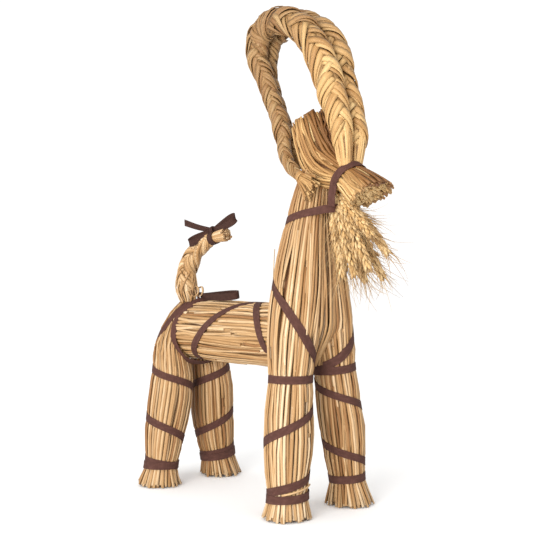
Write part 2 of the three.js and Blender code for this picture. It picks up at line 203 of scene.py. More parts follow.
class Skin(ABC):
    """A bundle's outer form: a point for each angle round it, key along it and lift off it."""

    ties: tuple[Tie, ...] = ()
    girth: float = 26.0
    reach: float = 7.5

    @abstractmethod
    def point(self, angle: Array, key: Array, lift: Array | float) -> Array:
        """Gives points off the form.

        Args:
            angle: Angles round the bundle.
            key: Keys along it.
            lift: Distances off it.

        Returns:
            Rows of points.
        """

    @abstractmethod
    def core(self, key: Array) -> tuple[Array, Array, Array, Array]:
        """Gives the middle line.

        Args:
            key: Keys along the bundle.

        Returns:
            Points, the direction of the first half size, and both half sizes.
        """

    def outward(self, angle: Array, key: Array) -> Array:
        """Gives the directions straight off the form at the given angles and keys."""
        return unit(self.point(angle, key, 1.0) - self.point(angle, key, 0.0))

    def tied(self, angle: Array, key: Array) -> Array:
        """Tells how close the tapes are.

        Args:
            angle: Angles round the bundle.
            key: Keys along it.

        Returns:
            One under a tape, falling to nought beside it.
        """
        near = np.zeros(len(key))
        for tie in self.ties:
            trace = tie.trace(4.0)
            aside = np.abs((angle[:, None] - trace[None, :, 0] + math.pi) % TURN - math.pi) * self.girth
            along = key[:, None] - trace[None, :, 1]
            far = np.min(np.hypot(aside, along), axis=1)
            near = np.maximum(near, np.exp(-((far / self.reach) ** 2)))
        return near


# Rows of the height, the places along X and outward, and the half sizes along X and Y.
FRONT_ROWS: Table = (
    (0, 2.5, 54, 28, 28),
    (28, 1, 52, 24.5, 24.5),
    (90, -2.5, 47, 29.5, 29),
    (160, -8.5, 37.5, 27, 26.5),
    (215, -12, 29, 32.5, 29.5),
    (270, -13.5, 21, 33.5, 28),
    (350, -10.5, 11, 24.6, 20),
    (NECK_TOP, -2, 6, 18, 16),
    (420, 5, 4, 15, 14),
)
# The left front leg is slimmer: shifts along X and outward, and the gain of its half sizes, by the height.
LEFT_FRONT_CHANGE: dict[float, tuple[float, float, float]] = {28: (-0.8, -1.5, -1.5), 90: (-0.8, -1.5, -1.5)}
FRONT_HALVES: dict[Side, Rows] = {
    Side.RIGHT: Rows(FRONT_ROWS),
    Side.LEFT: Rows([
        (key, x + ahead, y + out, deep + more, wide + more)
        for key, x, y, deep, wide in FRONT_ROWS
        for ahead, out, more in [LEFT_FRONT_CHANGE.get(key, (0, 0, 0))]
    ]),
}

# Rows of the way, the places along X, outward and up, and the half sizes along X and across.
HIND_ROWS: Table = (
    (0, -1, 54, 0, 27, 27),
    (28, -0.5, 50.5, 28, 22.5, 22.5),
    (80, -1.5, 41.5, 80, 28, 28),
    (132, 1.5, 34.5, 132, 29, 29),
    (160, -0.5, 33, 160, 25.5, 26),
    (182, -6, 31, 182, 21, 22.5),
    (220, -8, 23, 215, 15, 12),
    (CREST_WAY, -7, 0, 238, 15, 8),
)
# The left hind leg is fuller: shifts along X and outward, and the gain of its half sizes, by the way.
LEFT_HIND_CHANGE: dict[float, tuple[float, float, float]] = {28: (-1.5, -2, 1.8), 80: (-0.8, -1, 1)}
HIND_ARCH = Rows(HIND_ROWS + tuple(
    (2 * CREST_WAY - way, x + ahead, -y - out, z, deep + more, thick + more)
    for way, x, y, z, deep, thick in reversed(HIND_ROWS[:-1])
    for ahead, out, more in [LEFT_HIND_CHANGE.get(way, (0, 0, 0))]
))

# Rows of the place along X and the radius.
TRUNK_ROWS = Rows([
    (TRUNK_REAR, 22),
    (HIND_X - 6, 25.5),
    (HIND_X + 15, 36.5),
    (HIND_X + 40, 39.5),
    (HIND_X + 120, 40),
    (TRUNK_END, 40),
])

# Rows of the way, the places along X from the front feet, outward and up, and the half sizes aside and over.
HEAD_LINE = Rows([
    (0, -8, 0, 461, 25.5, 25.5),
    (24, 0, 0, 438, 25.5, 28),
    (52, 14.5, 0, 413.5, 24, 29.5),
    (SNOUT_TIE, 49.5, 0, 395.5, 19, 19.5),
    (134, 84, 0, 371, 25.5, 25.5),
])

# Rows as for the head.
HORN_ROWS: Table = (
    (0, 51, 8, 402, 7.5, 8),
    (40, 51, 12, 442, 11, 12),
    (64, 45, 13.5, 467, 12.5, 14.5),
    (102, 31, 13.5, 505, 12.5, 17),
    (160, 4.5, 13.5, 556, 12, 17.5),
    (222, -42, 13, 590.5, 11.5, 15.5),
    (268, -87.5, 12, 588, 11, 16),
    (304, -98, 10, 557, 10, 15),
    (320, -92, 9.5, 541, 9.5, 12.5),
    (348, -80, 8.5, 514, 8.5, 11),
    (406, -55.5, 8, 462, 8, 10),
    (442, -48, 10, 431, 7, 8.5),
    (476, -27, 19.5, 411, 5.5, 7),
    (506, -3, 26.5, 396, 4, 5.5),
    (522, 6.5, 28, 387, 4.5, 9),
)
# The left horn's loop is wider: shifts along X and outward, by the way.
LEFT_HORN_SHIFT: dict[float, Pair] = {
    64: (-1, -1.5), 102: (-2, -2), 160: (4.5, 1), 222: (4, 0),
    304: (-3, -1), 320: (-6, -2), 348: (-9, -3), 406: (-9, -2.5), 442: (-5, 0),
}
HORN_LINES: dict[Side, Rows] = {
    Side.RIGHT: Rows(HORN_ROWS),
    Side.LEFT: Rows([
        np.array(row) + np.array([0, *LEFT_HORN_SHIFT.get(row[0], (0, 0)), 0, 0, 0]) for row in HORN_ROWS
    ]),
}

# Rows as for the head.
TAIL_LINE = Rows([
    (0, -250, 0, 245, 8, 8),
    (22, -255, 0, 266, 12, 13),
    (46, -252.5, 0, 289, 12, 13),
    (72, -237, 0, 310, 10.5, 12),
    (100, -213, 0, 323.5, 8.5, 9),
    (TAIL_TIE, -196, 0, 330, 7, 7),
    (150, -167, 0, 334, 9, 9.5),
])


def off_oval(angle: Array, first: Array, second: Array, lift: Array | float) -> tuple[Array, Array]:
    """Gives places straight off an oval.

    Args:
        angle: Angles round the oval.
        first: Its half size along the first axis.
        second: Its half size along the second axis.
        lift: Distances off it.

    Returns:
        The places along both axes.
    """
    cos, sin = np.cos(angle), np.sin(angle)
    norm = np.hypot(cos / first, sin / second)
    return first * cos + lift * cos / first / norm, second * sin + lift * sin / second / norm


@dataclass
class FrontSkin(Skin):
    """One half of the front bundle: a leg below, half of the chest and neck above. Its key is the height."""

    side: Side
    ties: tuple[Tie, ...] = ()

    def point(self, angle: Array, key: Array, lift: Array | float) -> Array:
        """Gives points off the leg, chest and neck, as Skin.point does."""
        ahead, out, deep, wide = FRONT_HALVES[self.side].columns(key)
        fore, aside = off_oval(angle, deep, wide, lift)
        x = FRONT_X + ahead + fore
        return np.stack([x, self.side.value * out + aside, key + 0 * x], axis=-1)

    def core(self, key: Array) -> tuple[Array, Array, Array, Array]:
        """Gives the half's middle line, as Skin.core does."""
        ahead, out, deep, wide = FRONT_HALVES[self.side].columns(key)
        middle = np.stack([FRONT_X + ahead, self.side.value * out, key], axis=-1)
        return middle, np.broadcast_to(AHEAD, middle.shape), deep, wide


@dataclass
class HindSkin(Skin):
    """The hind bundle, from the right foot over the rump to the left foot. Its key is the way along it.

    Its sections are level at the feet and square to its line from level_feet on.
    """

    ties: tuple[Tie, ...] = ()
    level_feet: float = 60.0

    def middle(self, way: Array) -> Array:
        """Gives points of the arch's middle line at the given ways."""
        ahead, out, height = HIND_ARCH.columns(way)[:3]
        return np.stack([HIND_X + ahead, -out, height], axis=-1)

    def point(self, angle: Array, key: Array, lift: Array | float) -> Array:
        """Gives points off the arch, as Skin.point does."""
        forward = self.middle(key + 1) - self.middle(key - 1)
        forward[..., 0] = 0
        forward[..., 1] *= np.clip(np.minimum(key, 2 * CREST_WAY - key) / self.level_feet, 0.0, 1.0)
        outward = np.cross(unit(forward), AHEAD)
        deep, thick = HIND_ARCH.columns(key)[3:]
        ahead, aside = off_oval(angle, deep, thick, lift)
        return self.middle(key) + ahead[..., None] * AHEAD + aside[..., None] * outward

    def core(self, key: Array) -> tuple[Array, Array, Array, Array]:
        """Gives the arch's middle line, as Skin.core does."""
        middle = self.middle(key)
        deep, thick = HIND_ARCH.columns(key)[3:]
        return middle, np.broadcast_to(AHEAD, middle.shape), deep, thick


@dataclass
class TrunkSkin(Skin):
    """The trunk, along X. Its angle runs from +Y over the top, and its belly stays full further back."""

    ties: tuple[Tie, ...] = ()
    girth: float = 37.0
    belly: float = 13.0

    def point(self, angle: Array, key: Array, lift: Array | float) -> Array:
        """Gives points off the trunk, as Skin.point does."""
        place = np.minimum(key + self.belly * (1.0 - np.sin(angle)), TRUNK_END)
        reach = TRUNK_ROWS.columns(place)[0] + lift
        y, z = reach * np.cos(angle), TRUNK_HEIGHT + reach * np.sin(angle)
        return np.stack([key + 0 * reach, y, z], axis=-1)

    def core(self, key: Array) -> tuple[Array, Array, Array, Array]:
        """Gives the trunk's middle line, as Skin.core does."""
        radius = TRUNK_ROWS.columns(key)[0]
        middle = np.stack([key, 0 * key, TRUNK_HEIGHT + 0 * key], axis=-1)
        return middle, np.broadcast_to(UP, middle.shape), radius, radius


@dataclass
class LineSkin(Skin):
    """A bundle along a line in space. Its key is the way along it, its angle runs from +Y to the top."""

    rows: Rows
    side: Side = Side.LEFT
    ties: tuple[Tie, ...] = ()
    girth: float = 22.0

    def middle(self, way: Array) -> Array:
        """Gives points of the middle line at the given ways."""
        ahead, out, height = self.rows.columns(way)[:3]
        return np.stack([FRONT_X + ahead, self.side.value * out, height], axis=-1)

    def axes(self, way: Array) -> tuple[Array, Array]:
        """Gives the directions across the line and over it.

        Args:
            way: Ways along the line.

        Returns:
            The sideways and the upright directions.
        """
        forward = unit(self.middle(way + 0.5) - self.middle(way - 0.5))
        across = unit(LEFT - forward * forward[..., 1:2])
        return across, np.cross(forward, across)

    def point(self, angle: Array, key: Array, lift: Array | float) -> Array:
        """Gives points off the bundle, as Skin.point does."""
        across, over = self.axes(key)
        wide, deep = self.rows.columns(key)[3:]
        aside, above = (wide + lift) * np.cos(angle), (deep + lift) * np.sin(angle)
        return self.middle(key) + aside[..., None] * across + above[..., None] * over

    def core(self, key: Array) -> tuple[Array, Array, Array, Array]:
        """Gives the middle line, as Skin.core does."""
        wide, deep = self.rows.columns(key)[3:]
        return self.middle(key), self.axes(key)[1], deep, wide


def fresh() -> None:
    """Leaves edit mode and deselects everything, so that an operator acts on the new primitive alone."""
    if bpy.context.object is not None and bpy.context.object.mode != "OBJECT":
        bpy.ops.object.mode_set(mode="OBJECT")
    bpy.ops.object.select_all(action="DESELECT")


def pick(kind: str, test: Callable[[Any], bool]) -> None:
    """Selects parts of the mesh in edit mode by a test, and nothing else.

    Args:
        kind: "VERT", "EDGE" or "FACE".
        test: Says whether a part is taken.
    """
    bpy.ops.mesh.select_mode(type=kind)
    bpy.ops.mesh.select_all(action="DESELECT")
    mesh = bmesh.from_edit_mesh(bpy.context.object.data)
    parts = {"VERT": mesh.verts, "EDGE": mesh.edges, "FACE": mesh.faces}[kind]
    for part in parts:
        if test(part):
            part.select_set(True)
    mesh.select_flush_mode()
    bmesh.update_edit_mesh(bpy.context.object.data)


def is_upright(edge: Any) -> bool:
    """Says whether an edge runs along Z."""
    low, high = edge.verts[0].co, edge.verts[1].co
    return abs(high.z - low.z) > 0.5 * (high - low).length


@dataclass(frozen=True)
class Pattern:
    """A shape modelled once round the Z axis from z = 0 to 1, read off for copies that follow a run."""

    vertex: Array
    corner: Indices
    total: Indices
    smooth: NDArray[np.bool_]
    around: Array

    @classmethod
    def read(cls, shape: Piece) -> Pattern:
        """Reads a modelled shape and takes it out of the scene.

        Args:
            shape: The shape, with its place in its object.

        Returns:
            The pattern.
        """
        fresh()
        shape.select_set(True)
        bpy.context.view_layer.objects.active = shape
        bpy.ops.object.transform_apply(location=True, rotation=True, scale=True)
        mesh = shape.data
        vertex = np.array([v.co[:] for v in mesh.vertices])
        corner = np.array([i for face in mesh.polygons for i in face.vertices], dtype=np.int32)
        total = np.array([face.loop_total for face in mesh.polygons], dtype=np.int32)
        smooth = np.array([abs(face.normal.z) < 0.9 for face in mesh.polygons])
        turned = np.arctan2(vertex[:, 0], -vertex[:, 1]) / TURN % 1.0
        around = turned[corner]
        for begin, size in zip(np.cumsum(total) - total, total):
            part = around[begin:begin + size]
            if part.max() - part.min() > 0.5:
                part[part < 0.5] += 1.0
        bpy.ops.object.delete()
        return cls(vertex, corner, total, smooth, around)


def model_straw(sides: int, sections: int, hollow: float) -> Pattern:
    """Models a straw, open at both cut ends.

    Args:
        sides: Sides of its section.
        sections: Sections of its length, which let it bend.
        hollow: Depth of the open ends, as a share of the length, or nought for plain ends.

    Returns:
        The straw's pattern.
    """
    fresh()
    bpy.ops.mesh.primitive_cylinder_add(
        vertices=sides, radius=1.0, depth=1.0, end_fill_type="NGON", location=(0.0, 0.0, 0.5)
    )
    straw = bpy.context.object
    bpy.ops.object.mode_set(mode="EDIT")
    if sections > 1:
        pick("EDGE", is_upright)
        bpy.ops.mesh.subdivide(number_cuts=sections - 1)
    if hollow > 0:
        for end in (-1.0, 1.0):
            pick("FACE", lambda face: face.normal.z * end > 0.9)
            bpy.ops.mesh.inset(thickness=0.34)
            bpy.ops.mesh.extrude_region_move(TRANSFORM_OT_translate={"value": (0.0, 0.0, -end * hollow)})
    bpy.ops.object.mode_set(mode="OBJECT")
    return Pattern.read(straw)


def model_grain() -> Pattern:
    """Models a husked grain: a round ball drawn out to a point.

    Returns:
        The grain's pattern.
    """
    fresh()
    bpy.ops.mesh.primitive_uv_sphere_add(segments=6, ring_count=5, radius=0.5, location=(0.0, 0.0, 0.5))
    grain = bpy.context.object
    bpy.ops.object.mode_set(mode="EDIT")
    bpy.ops.mesh.select_all(action="SELECT")
    bpy.ops.transform.resize(value=(2.0, 2.0, 1.0), center_override=(0.0, 0.0, 0.5))
    pick("VERT", lambda vertex: vertex.co.z > 0.2)
    bpy.ops.transform.resize(value=(0.55, 0.55, 1.0), center_override=(0.0, 0.0, 0.5))
    pick("VERT", lambda vertex: vertex.co.z < -0.2)
    bpy.ops.transform.resize(value=(1.15, 1.15, 1.0), center_override=(0.0, 0.0, 0.5))
    bpy.ops.object.mode_set(mode="OBJECT")
    return Pattern.read(grain)


def model_bristle() -> Pattern:
    """Models a bristle: a thin cone in a few sections.

    Returns:
        The bristle's pattern.
    """
    fresh()
    bpy.ops.mesh.primitive_cone_add(
        vertices=4, radius1=1.0, radius2=0.25, depth=1.0, location=(0.0, 0.0, 0.5)
    )
    bristle = bpy.context.object
    bpy.ops.object.mode_set(mode="EDIT")
    pick("EDGE", is_upright)
    bpy.ops.mesh.subdivide(number_cuts=4)
    bpy.ops.object.mode_set(mode="OBJECT")
    return Pattern.read(bristle)


class Shape(Enum):
    """The shapes that are modelled once and copied."""

    LONG = "long straw"
    ARCH = "straw laid over the rump"
    BAND = "flat straw of a plait"
    BENT = "inside of a plait, and the straws that line it"
    SHORT = "short straw with open ends"
    STUB = "cut straw end"
    CORE = "shaded inside of a bundle"
    GRAIN = "husked grain"
    BRISTLE = "bristle"


class Patterns:
    """Models each shape when it is first asked for."""

    def __init__(self) -> None:
        """Starts with nothing modelled."""
        self.made: dict[Shape, Pattern] = {}

    def __getitem__(self, shape: Shape) -> Pattern:
        """Gives a shape's pattern.

        Args:
            shape: Which shape.

        Returns:
            Its pattern, modelled now if it is new.
        """
        makers: dict[Shape, Callable[[], Pattern]] = {
            Shape.LONG: lambda: model_straw(5, 22, 0.0),
            Shape.ARCH: lambda: model_straw(5, 46, 0.0),
            Shape.BAND: lambda: model_straw(5, 14, 0.0),
            Shape.BENT: lambda: model_straw(12, 84, 0.0),
            Shape.SHORT: lambda: model_straw(6, 8, 0.06),
            Shape.STUB: lambda: model_straw(6, 1, 0.2),
            Shape.CORE: lambda: model_straw(20, 24, 0.0),
            Shape.GRAIN: model_grain,
            Shape.BRISTLE: model_bristle,
        }
        if shape not in self.made:
            self.made[shape] = makers[shape]()
        return self.made[shape]


@dataclass
class Sheaf:
    """Copies of patterns gathered into one mesh, each with its own tone and painted shade, and the source of
    chance.

    Charts of unlike tones lie chart_steps apart. Painted shade darkens the flanks from flank_start on, by
    flank_slope, and the insides of open ends within hole_radius by hole_shade.
    """

    patterns: Patterns
    rng: Chance
    parts: dict[str, list[NDArray[Any]]] = field(default_factory=lambda: defaultdict(list))
    count: int = 0
    chart_steps: Pair = (7.0, 13.0)
    chart_scale: float = 0.01
    flank_start: float = 0.28
    flank_slope: float = 0.7
    hole_radius: float = 0.8
    hole_shade: float = 0.6

    def lay(
        self,
        shape: Shape,
        points: Array,
        outward: Array,
        half_width: Array | float,
        half_depth: Array | float,
        tone: Array | float,
        shade: Array | float = 0.0,
        finish: int = 0,
        flank: float = 1.0,
    ) -> None:
        """Lays one copy along a run of points.

        Args:
            shape: The shape to copy.
            points: The run's points.
            outward: The direction that the copy's broad side faces at each point.
            half_width: Half its width at each point, or one for all.
            half_depth: Half its depth at each point, or one for all.
            tone: Its own place between the finish's colours at each point, or one for all.
            shade: Its painted shade for how deep it lies in the bundle, from nought to one, at each point or
                one for all.
            finish: Which of the piece's finishes it takes.
            flank: How much painted shade darkens its flanks and its inner side.
        """
        pattern = self.patterns[shape]
        forward = unit(np.gradient(points, axis=0))
        across = unit(np.cross(outward, forward))
        over = np.cross(forward, across)
        a, b, t = pattern.vertex.T
        stops = np.linspace(0.0, 1.0, len(points))
        values = (half_width, half_depth, lengths(points), tone, shade)
        each = [np.broadcast_to(value, stops.shape) for value in values]
        run = np.column_stack([points, across, over, *each])
        at = np.stack([np.interp(t, stops, column) for column in run.T], axis=1)
        place = at[:, 0:3] + (a * at[:, 9])[:, None] * at[:, 3:6] + (b * at[:, 10])[:, None] * at[:, 6:9]
        own = float(np.mean(tone))
        u = pattern.around + self.chart_steps[0] * own
        v = at[pattern.corner, 11] * self.chart_scale + self.chart_steps[1] * own
        # Painted shade on the flanks and the inner side, and inside open ends.
        hole = (np.hypot(a, b) < self.hole_radius) & (t > 0) & (t < 1)
        sides = np.clip(self.flank_start - self.flank_slope * b, 0, 1)
        dark = np.maximum(flank * sides, self.hole_shade * hole)
        copy = {
            "place": place,
            "corner": pattern.corner + self.count,
            "total": pattern.total,
            "smooth": pattern.smooth,
            "chart": np.stack([u, v], axis=1),
            "tone": at[:, 12],
            "shade": at[:, 13] + (1 - at[:, 13]) * dark,
            "finish": np.full(len(pattern.total), finish, dtype=np.int32),
        }
        for label, values in copy.items():
            self.parts[label].append(values)
        self.count += len(place)

    def tie_up(self, name: str) -> Piece:
        """Makes the mesh of all copies.

        Args:
            name: The piece's name.

        Returns:
            The new piece.
        """
        mesh = bpy.data.meshes.new(name)
        whole = {label: np.concatenate(values) for label, values in self.parts.items()}
        total = whole["total"]
        mesh.vertices.add(self.count)
        mesh.loops.add(len(whole["corner"]))
        mesh.polygons.add(len(total))
        mesh.vertices.foreach_set("co", (whole["place"] * MM).ravel())
        mesh.loops.foreach_set("vertex_index", whole["corner"])
        faces = {
            "loop_start": np.cumsum(total) - total,
            "loop_total": total,
            "use_smooth": whole["smooth"],
            "material_index": whole["finish"],
        }
        for label, values in faces.items():
            mesh.polygons.foreach_set(label, values)
        mesh.update(calc_edges=True)
        mesh.uv_layers.new(name="chart").data.foreach_set("uv", whole["chart"].ravel())
        for label in ("tone", "shade"):
            mesh.attributes.new(label, "FLOAT", "POINT").data.foreach_set("value", whole[label])
        piece = bpy.data.objects.new(name, mesh)
        bpy.context.scene.collection.objects.link(piece)
        return piece


class Wire:
    """A shader value: Python's operators on it add Math nodes."""

    def __init__(self, graph: Graph, socket: bpy.types.NodeSocket) -> None:
        """Wraps a socket of a graph."""
        self.graph = graph
        self.socket = socket

    def math(self, operation: str, *values: Wire | float) -> Wire:
        """Adds a Math node and gives its result."""
        return self.graph.node("ShaderNodeMath", {"operation": operation}, dict(enumerate(values)))

    def __add__(self, other: Wire | float) -> Wire:
        """Adds."""
        return self.math("ADD", self, other)

    def __radd__(self, other: float) -> Wire:
        """Adds to a number."""
        return self.math("ADD", other, self)

    def __sub__(self, other: Wire | float) -> Wire:
        """Subtracts."""
        return self.math("SUBTRACT", self, other)

    def __mul__(self, other: Wire | float) -> Wire:
        """Multiplies."""
        return self.math("MULTIPLY", self, other)

    def clamped(self) -> Wire:
        """Keeps the value between nought and one."""
        return self.math("MINIMUM", self.math("MAXIMUM", self, 0.0), 1.0)

    def wave(self) -> Wire:
        """Takes the sine."""
        return self.math("SINE", self)


class Graph:
    """A material's nodes."""

    def __init__(self, name: str) -> None:
        """Starts a material with one Principled shader.

        Args:
            name: The material's name.
        """
        self.material = bpy.data.materials.new(name)
        self.material.use_nodes = True
        self.tree = self.material.node_tree
        self.shader = self.tree.nodes["Principled BSDF"]

    def node(
        self,
        kind: str,
        settings: dict[str, Any] | None = None,
        inputs: dict[str | int, Any] | None = None,
        output: str | int = 0,
    ) -> Wire:
        """Adds any node.

        Args:
            kind: The node's type.
            settings: Its settings, set first; "stops" are a ramp's places and colours.
            inputs: Values or wires for its sockets.
            output: The socket that is given back.

        Returns:
            The output's wire.
        """
        new = self.tree.nodes.new(kind)
        for key, value in (settings or {}).items():
            if key == "stops":
                ramp = new.color_ramp.elements
                while len(ramp) < len(value):
                    ramp.new(0.5)
                for element, (place, colour) in zip(ramp, value):
                    element.position = place
                    element.color = (*colour, 1.0)
            else:
                setattr(new, key, value)
        for key, value in (inputs or {}).items():
            if isinstance(value, Wire):
                self.tree.links.new(value.socket, new.inputs[key])
            else:
                new.inputs[key].default_value = value
        return Wire(self, new.outputs[output])

    def attribute(self, name: str) -> Wire:
        """Reads a number that the mesh carries."""
        return self.node("ShaderNodeAttribute", {"attribute_name": name}, output="Fac")

    def chart(self, scale: Point) -> Wire:
        """Reads the piece's own chart, its axes scaled."""
        place = self.node("ShaderNodeUVMap", {"uv_map": "chart"})
        return self.node("ShaderNodeVectorMath", {"operation": "MULTIPLY"}, {0: place, 1: scale})

    def noise(self, place: Wire, scale: float, detail: float = 2.0) -> Wire:
        """Adds a noise of a fineness and a number of finer layers, with values about a half."""
        return self.node("ShaderNodeTexNoise", None, {"Vector": place, "Scale": scale, "Detail": detail})

    def mix(self, factor: Wire | float, low: Wire | Colour, high: Wire | Colour, blend: str = "MIX") -> Wire:
        """Mixes two colours.

        Args:
            factor: The share of the second colour.
            low: The first colour.
            high: The second colour.
            blend: How they are mixed.

        Returns:
            The mixed colour.
        """
        pair = {6: low, 7: high}
        filled = {k: v if isinstance(v, Wire) else (*v, 1.0) for k, v in pair.items()}
        return self.node(
            "ShaderNodeMix", {"data_type": "RGBA", "blend_type": blend}, {0: factor, **filled}, output=2
        )

    def feed(self, **sockets: Wire | float | Colour) -> Material:
        """Sets the shader's own sockets.

        Args:
            sockets: Wires, numbers or colours, named as the shader's sockets with _ for a space.

        Returns:
            The finished material.
        """
        for key, value in sockets.items():
            socket = self.shader.inputs[key.replace("_", " ")]
            if isinstance(value, Wire):
                self.tree.links.new(value.socket, socket)
            elif isinstance(value, tuple):
                socket.default_value = (*value, 1.0)
            else:
                socket.default_value = value
        return self.material

    def bump(self, height: Wire, strength: float, distance: float) -> Wire:
        """Adds a Bump node, its distance in metres, and gives the normal."""
        inputs = {"Height": height, "Strength": strength, "Distance": distance}
        return self.node("ShaderNodeBump", None, inputs)


class Finish(ABC):
    """The look of a material."""

    @abstractmethod
    def material(self) -> Material:
        """Makes the material.

        Returns:
            The finished material.
        """


@dataclass(frozen=True)
class StrawFinish(Finish):
    """Dry straw: each straw has its own tone, fine fibres and brown flecks, with painted shade between the
    straws.
    """

    name: str = "dry_straw"
    tones: Ramp = (
        (0.0, (0.245, 0.114, 0.037)),
        (0.2, (0.335, 0.18, 0.069)),
        (0.5, (0.435, 0.262, 0.117)),
        (0.8, (0.54, 0.365, 0.2)),
        (1.0, (0.61, 0.452, 0.284)),
    )
    # The colour that painted shade mixes towards, between and under the straws.
    painted_shade_colour: Colour = (0.10, 0.037, 0.013)
    fleck: Colour = (0.17, 0.075, 0.027)

    def material(self) -> Material:
        """Makes the straw's material, as Finish.material asks."""
        graph = Graph(self.name)
        tone, shade = graph.attribute("tone"), graph.attribute("shade")
        fibre = graph.noise(graph.chart((26.0, 2.4, 1.0)), 1.0)
        patch = graph.noise(graph.chart((1.2, 3.2, 1.0)), 1.0, 1.0)
        fleck = graph.noise(graph.chart((3.0, 14.0, 1.0)), 1.0, 3.0)
        place = (tone + (fibre - 0.5) * 0.45 + (patch - 0.5) * 0.5).clamped()
        colour = graph.node("ShaderNodeValToRGB", {"stops": self.tones}, {0: place})
        colour = graph.mix(((fleck - 0.63) * 5.0).clamped() * 0.6, colour, self.fleck)
        # Painted shade: the shade attribute mixes the colour towards the painted shade colour.
        colour = graph.mix((shade * 0.92).clamped(), colour, self.painted_shade_colour)
        return graph.feed(
            Base_Color=colour,
            Roughness=0.42 + fibre * 0.24,
            Specular_IOR_Level=0.3,
            Normal=graph.bump(fibre, 0.35, 0.0004),
        )


GOLDEN_TONES: Ramp = (
    (0.0, (0.24, 0.11, 0.03)),
    (0.2, (0.34, 0.18, 0.062)),
    (0.5, (0.45, 0.265, 0.103)),
    (0.8, (0.55, 0.355, 0.15)),
    (1.0, (0.62, 0.43, 0.205)),
)


@dataclass(frozen=True)
class GrainFinish(Finish):
    """Ripe wheat: husks from pale to golden with fine ribs."""

    name: str = "ripe_wheat"
    tones: Ramp = (
        (0.0, (0.35, 0.18, 0.055)),
        (0.45, (0.54, 0.335, 0.13)),
        (1.0, (0.68, 0.49, 0.25)),
    )
    # The colour that painted shade mixes towards.
    painted_shade_colour: Colour = (0.16, 0.075, 0.028)

    def material(self) -> Material:
        """Makes the grain's material, as Finish.material asks."""
        graph = Graph(self.name)
        rib = graph.noise(graph.chart((14.0, 9.0, 1.0)), 1.0)
        place = (graph.attribute("tone") + (rib - 0.5) * 0.7).clamped()
        colour = graph.node("ShaderNodeValToRGB", {"stops": self.tones}, {0: place})
        # Painted shade: the shade attribute mixes the colour towards the painted shade colour.
        colour = graph.mix((graph.attribute("shade") * 0.8).clamped(), colour, self.painted_shade_colour)
        return graph.feed(Base_Color=colour, Roughness=0.5 + rib * 0.25, Normal=graph.bump(rib, 0.4, 0.0004))


@dataclass(frozen=True)
class BristleFinish(Finish):
    """The grey bristles of wheat ears, paler towards some of them."""

    name: str = "wheat_bristle"
    low: Colour = (0.1, 0.074, 0.058)
    high: Colour = (0.3, 0.225, 0.16)

    def material(self) -> Material:
        """Makes the bristles' material, as Finish.material asks."""
        graph = Graph(self.name)
        streak = graph.noise(graph.chart((2.0, 6.0, 1.0)), 1.0)
        place = (graph.attribute("tone") * 0.7 + streak * 0.4).clamped()
        return graph.feed(Base_Color=graph.mix(place, self.low, self.high), Roughness=0.55 + streak * 0.2)


# A tape's chart is in centimetres, its threads are in millimetres.
CHART_CM = 10.0


@dataclass(frozen=True)
class TapeFinish(Finish):
    """Flat woven tape: crossing threads and worn lighter fibres."""

    name: str = "woven_tape"
    thread: Colour = (0.09, 0.037, 0.027)
    light: Colour = (0.142, 0.066, 0.051)
    hollow: Colour = (0.038, 0.0145, 0.0105)
    pitch: float = 0.75

    def material(self) -> Material:
        """Makes the tape's material, as Finish.material asks."""
        graph = Graph(self.name)
        place = graph.node("ShaderNodeUVMap", {"uv_map": "chart"})
        u, v = (graph.node("ShaderNodeSeparateXYZ", None, {0: place}, output=axis) for axis in (0, 1))
        turns = 0.5 * TURN * CHART_CM / self.pitch
        weft = ((u + v) * turns).wave() * ((u - v) * turns).wave()
        weave = 0.5 + weft * 0.5
        worn = graph.noise(graph.chart((3.0, 1.2, 1.0)), 1.0, 4.0)
        fuzz = graph.noise(graph.chart((24.0, 24.0, 1.0)), 1.0, 2.0)
        colour = graph.mix(weave, self.hollow, self.thread)
        lit = (((worn - 0.42) * 2.2).clamped() * 0.55 + (fuzz - 0.5) * 0.5).clamped()
        colour = graph.mix(lit, colour, self.light)
        return graph.feed(
            Base_Color=colour,
            Roughness=0.78 + worn * 0.16,
            Specular_IOR_Level=0.2,
            Normal=graph.bump(weave + fuzz * 0.4, 0.5, 0.0003),
        )


@dataclass(frozen=True)
class FloorFinish(Finish):
    """A plain pale floor with a faint grain."""

    name: str = "pale_floor"
    colour: Colour = (0.95, 0.95, 0.945)

    def material(self) -> Material:
        """Makes the floor's material, as Finish.material asks."""
        graph = Graph(self.name)
        place = graph.node("ShaderNodeTexCoord", output="Object")
        grain = graph.noise(place, 40.0)
        return graph.feed(Base_Color=self.colour, Roughness=0.75 + grain * 0.1)


def settle(
    piece: Piece,
    finishes: Sequence[Material],
    stands_for: Sequence[str] = (),
) -> None:
    """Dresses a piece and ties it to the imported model.

    Args:
        piece: The piece.
        finishes: Its materials, in the order of its faces' finishes.
        stands_for: The model's nodes that it shows in place of.
    """
    piece.data.materials.clear()
    for finish in finishes:
        piece.data.materials.append(finish)
    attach(piece, BODY)
    if stands_for:
        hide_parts(*stands_for)
    log.info("%s: %d faces for %s", piece.name, len(piece.data.polygons), ", ".join(stands_for) or "itself")


class Assembly(ABC):
    """A sub-assembly of the goat: it builds its meshes, then dresses them."""

    @abstractmethod
    def build(self, patterns: Patterns) -> None:
        """Makes the meshes.

        Args:
            patterns: The shapes that are modelled once.
        """

    @abstractmethod
    def dress(self, closet: Closet) -> None:
        """Gives the meshes their finishes and ties them to the model.

        Args:
            closet: The finishes.
        """


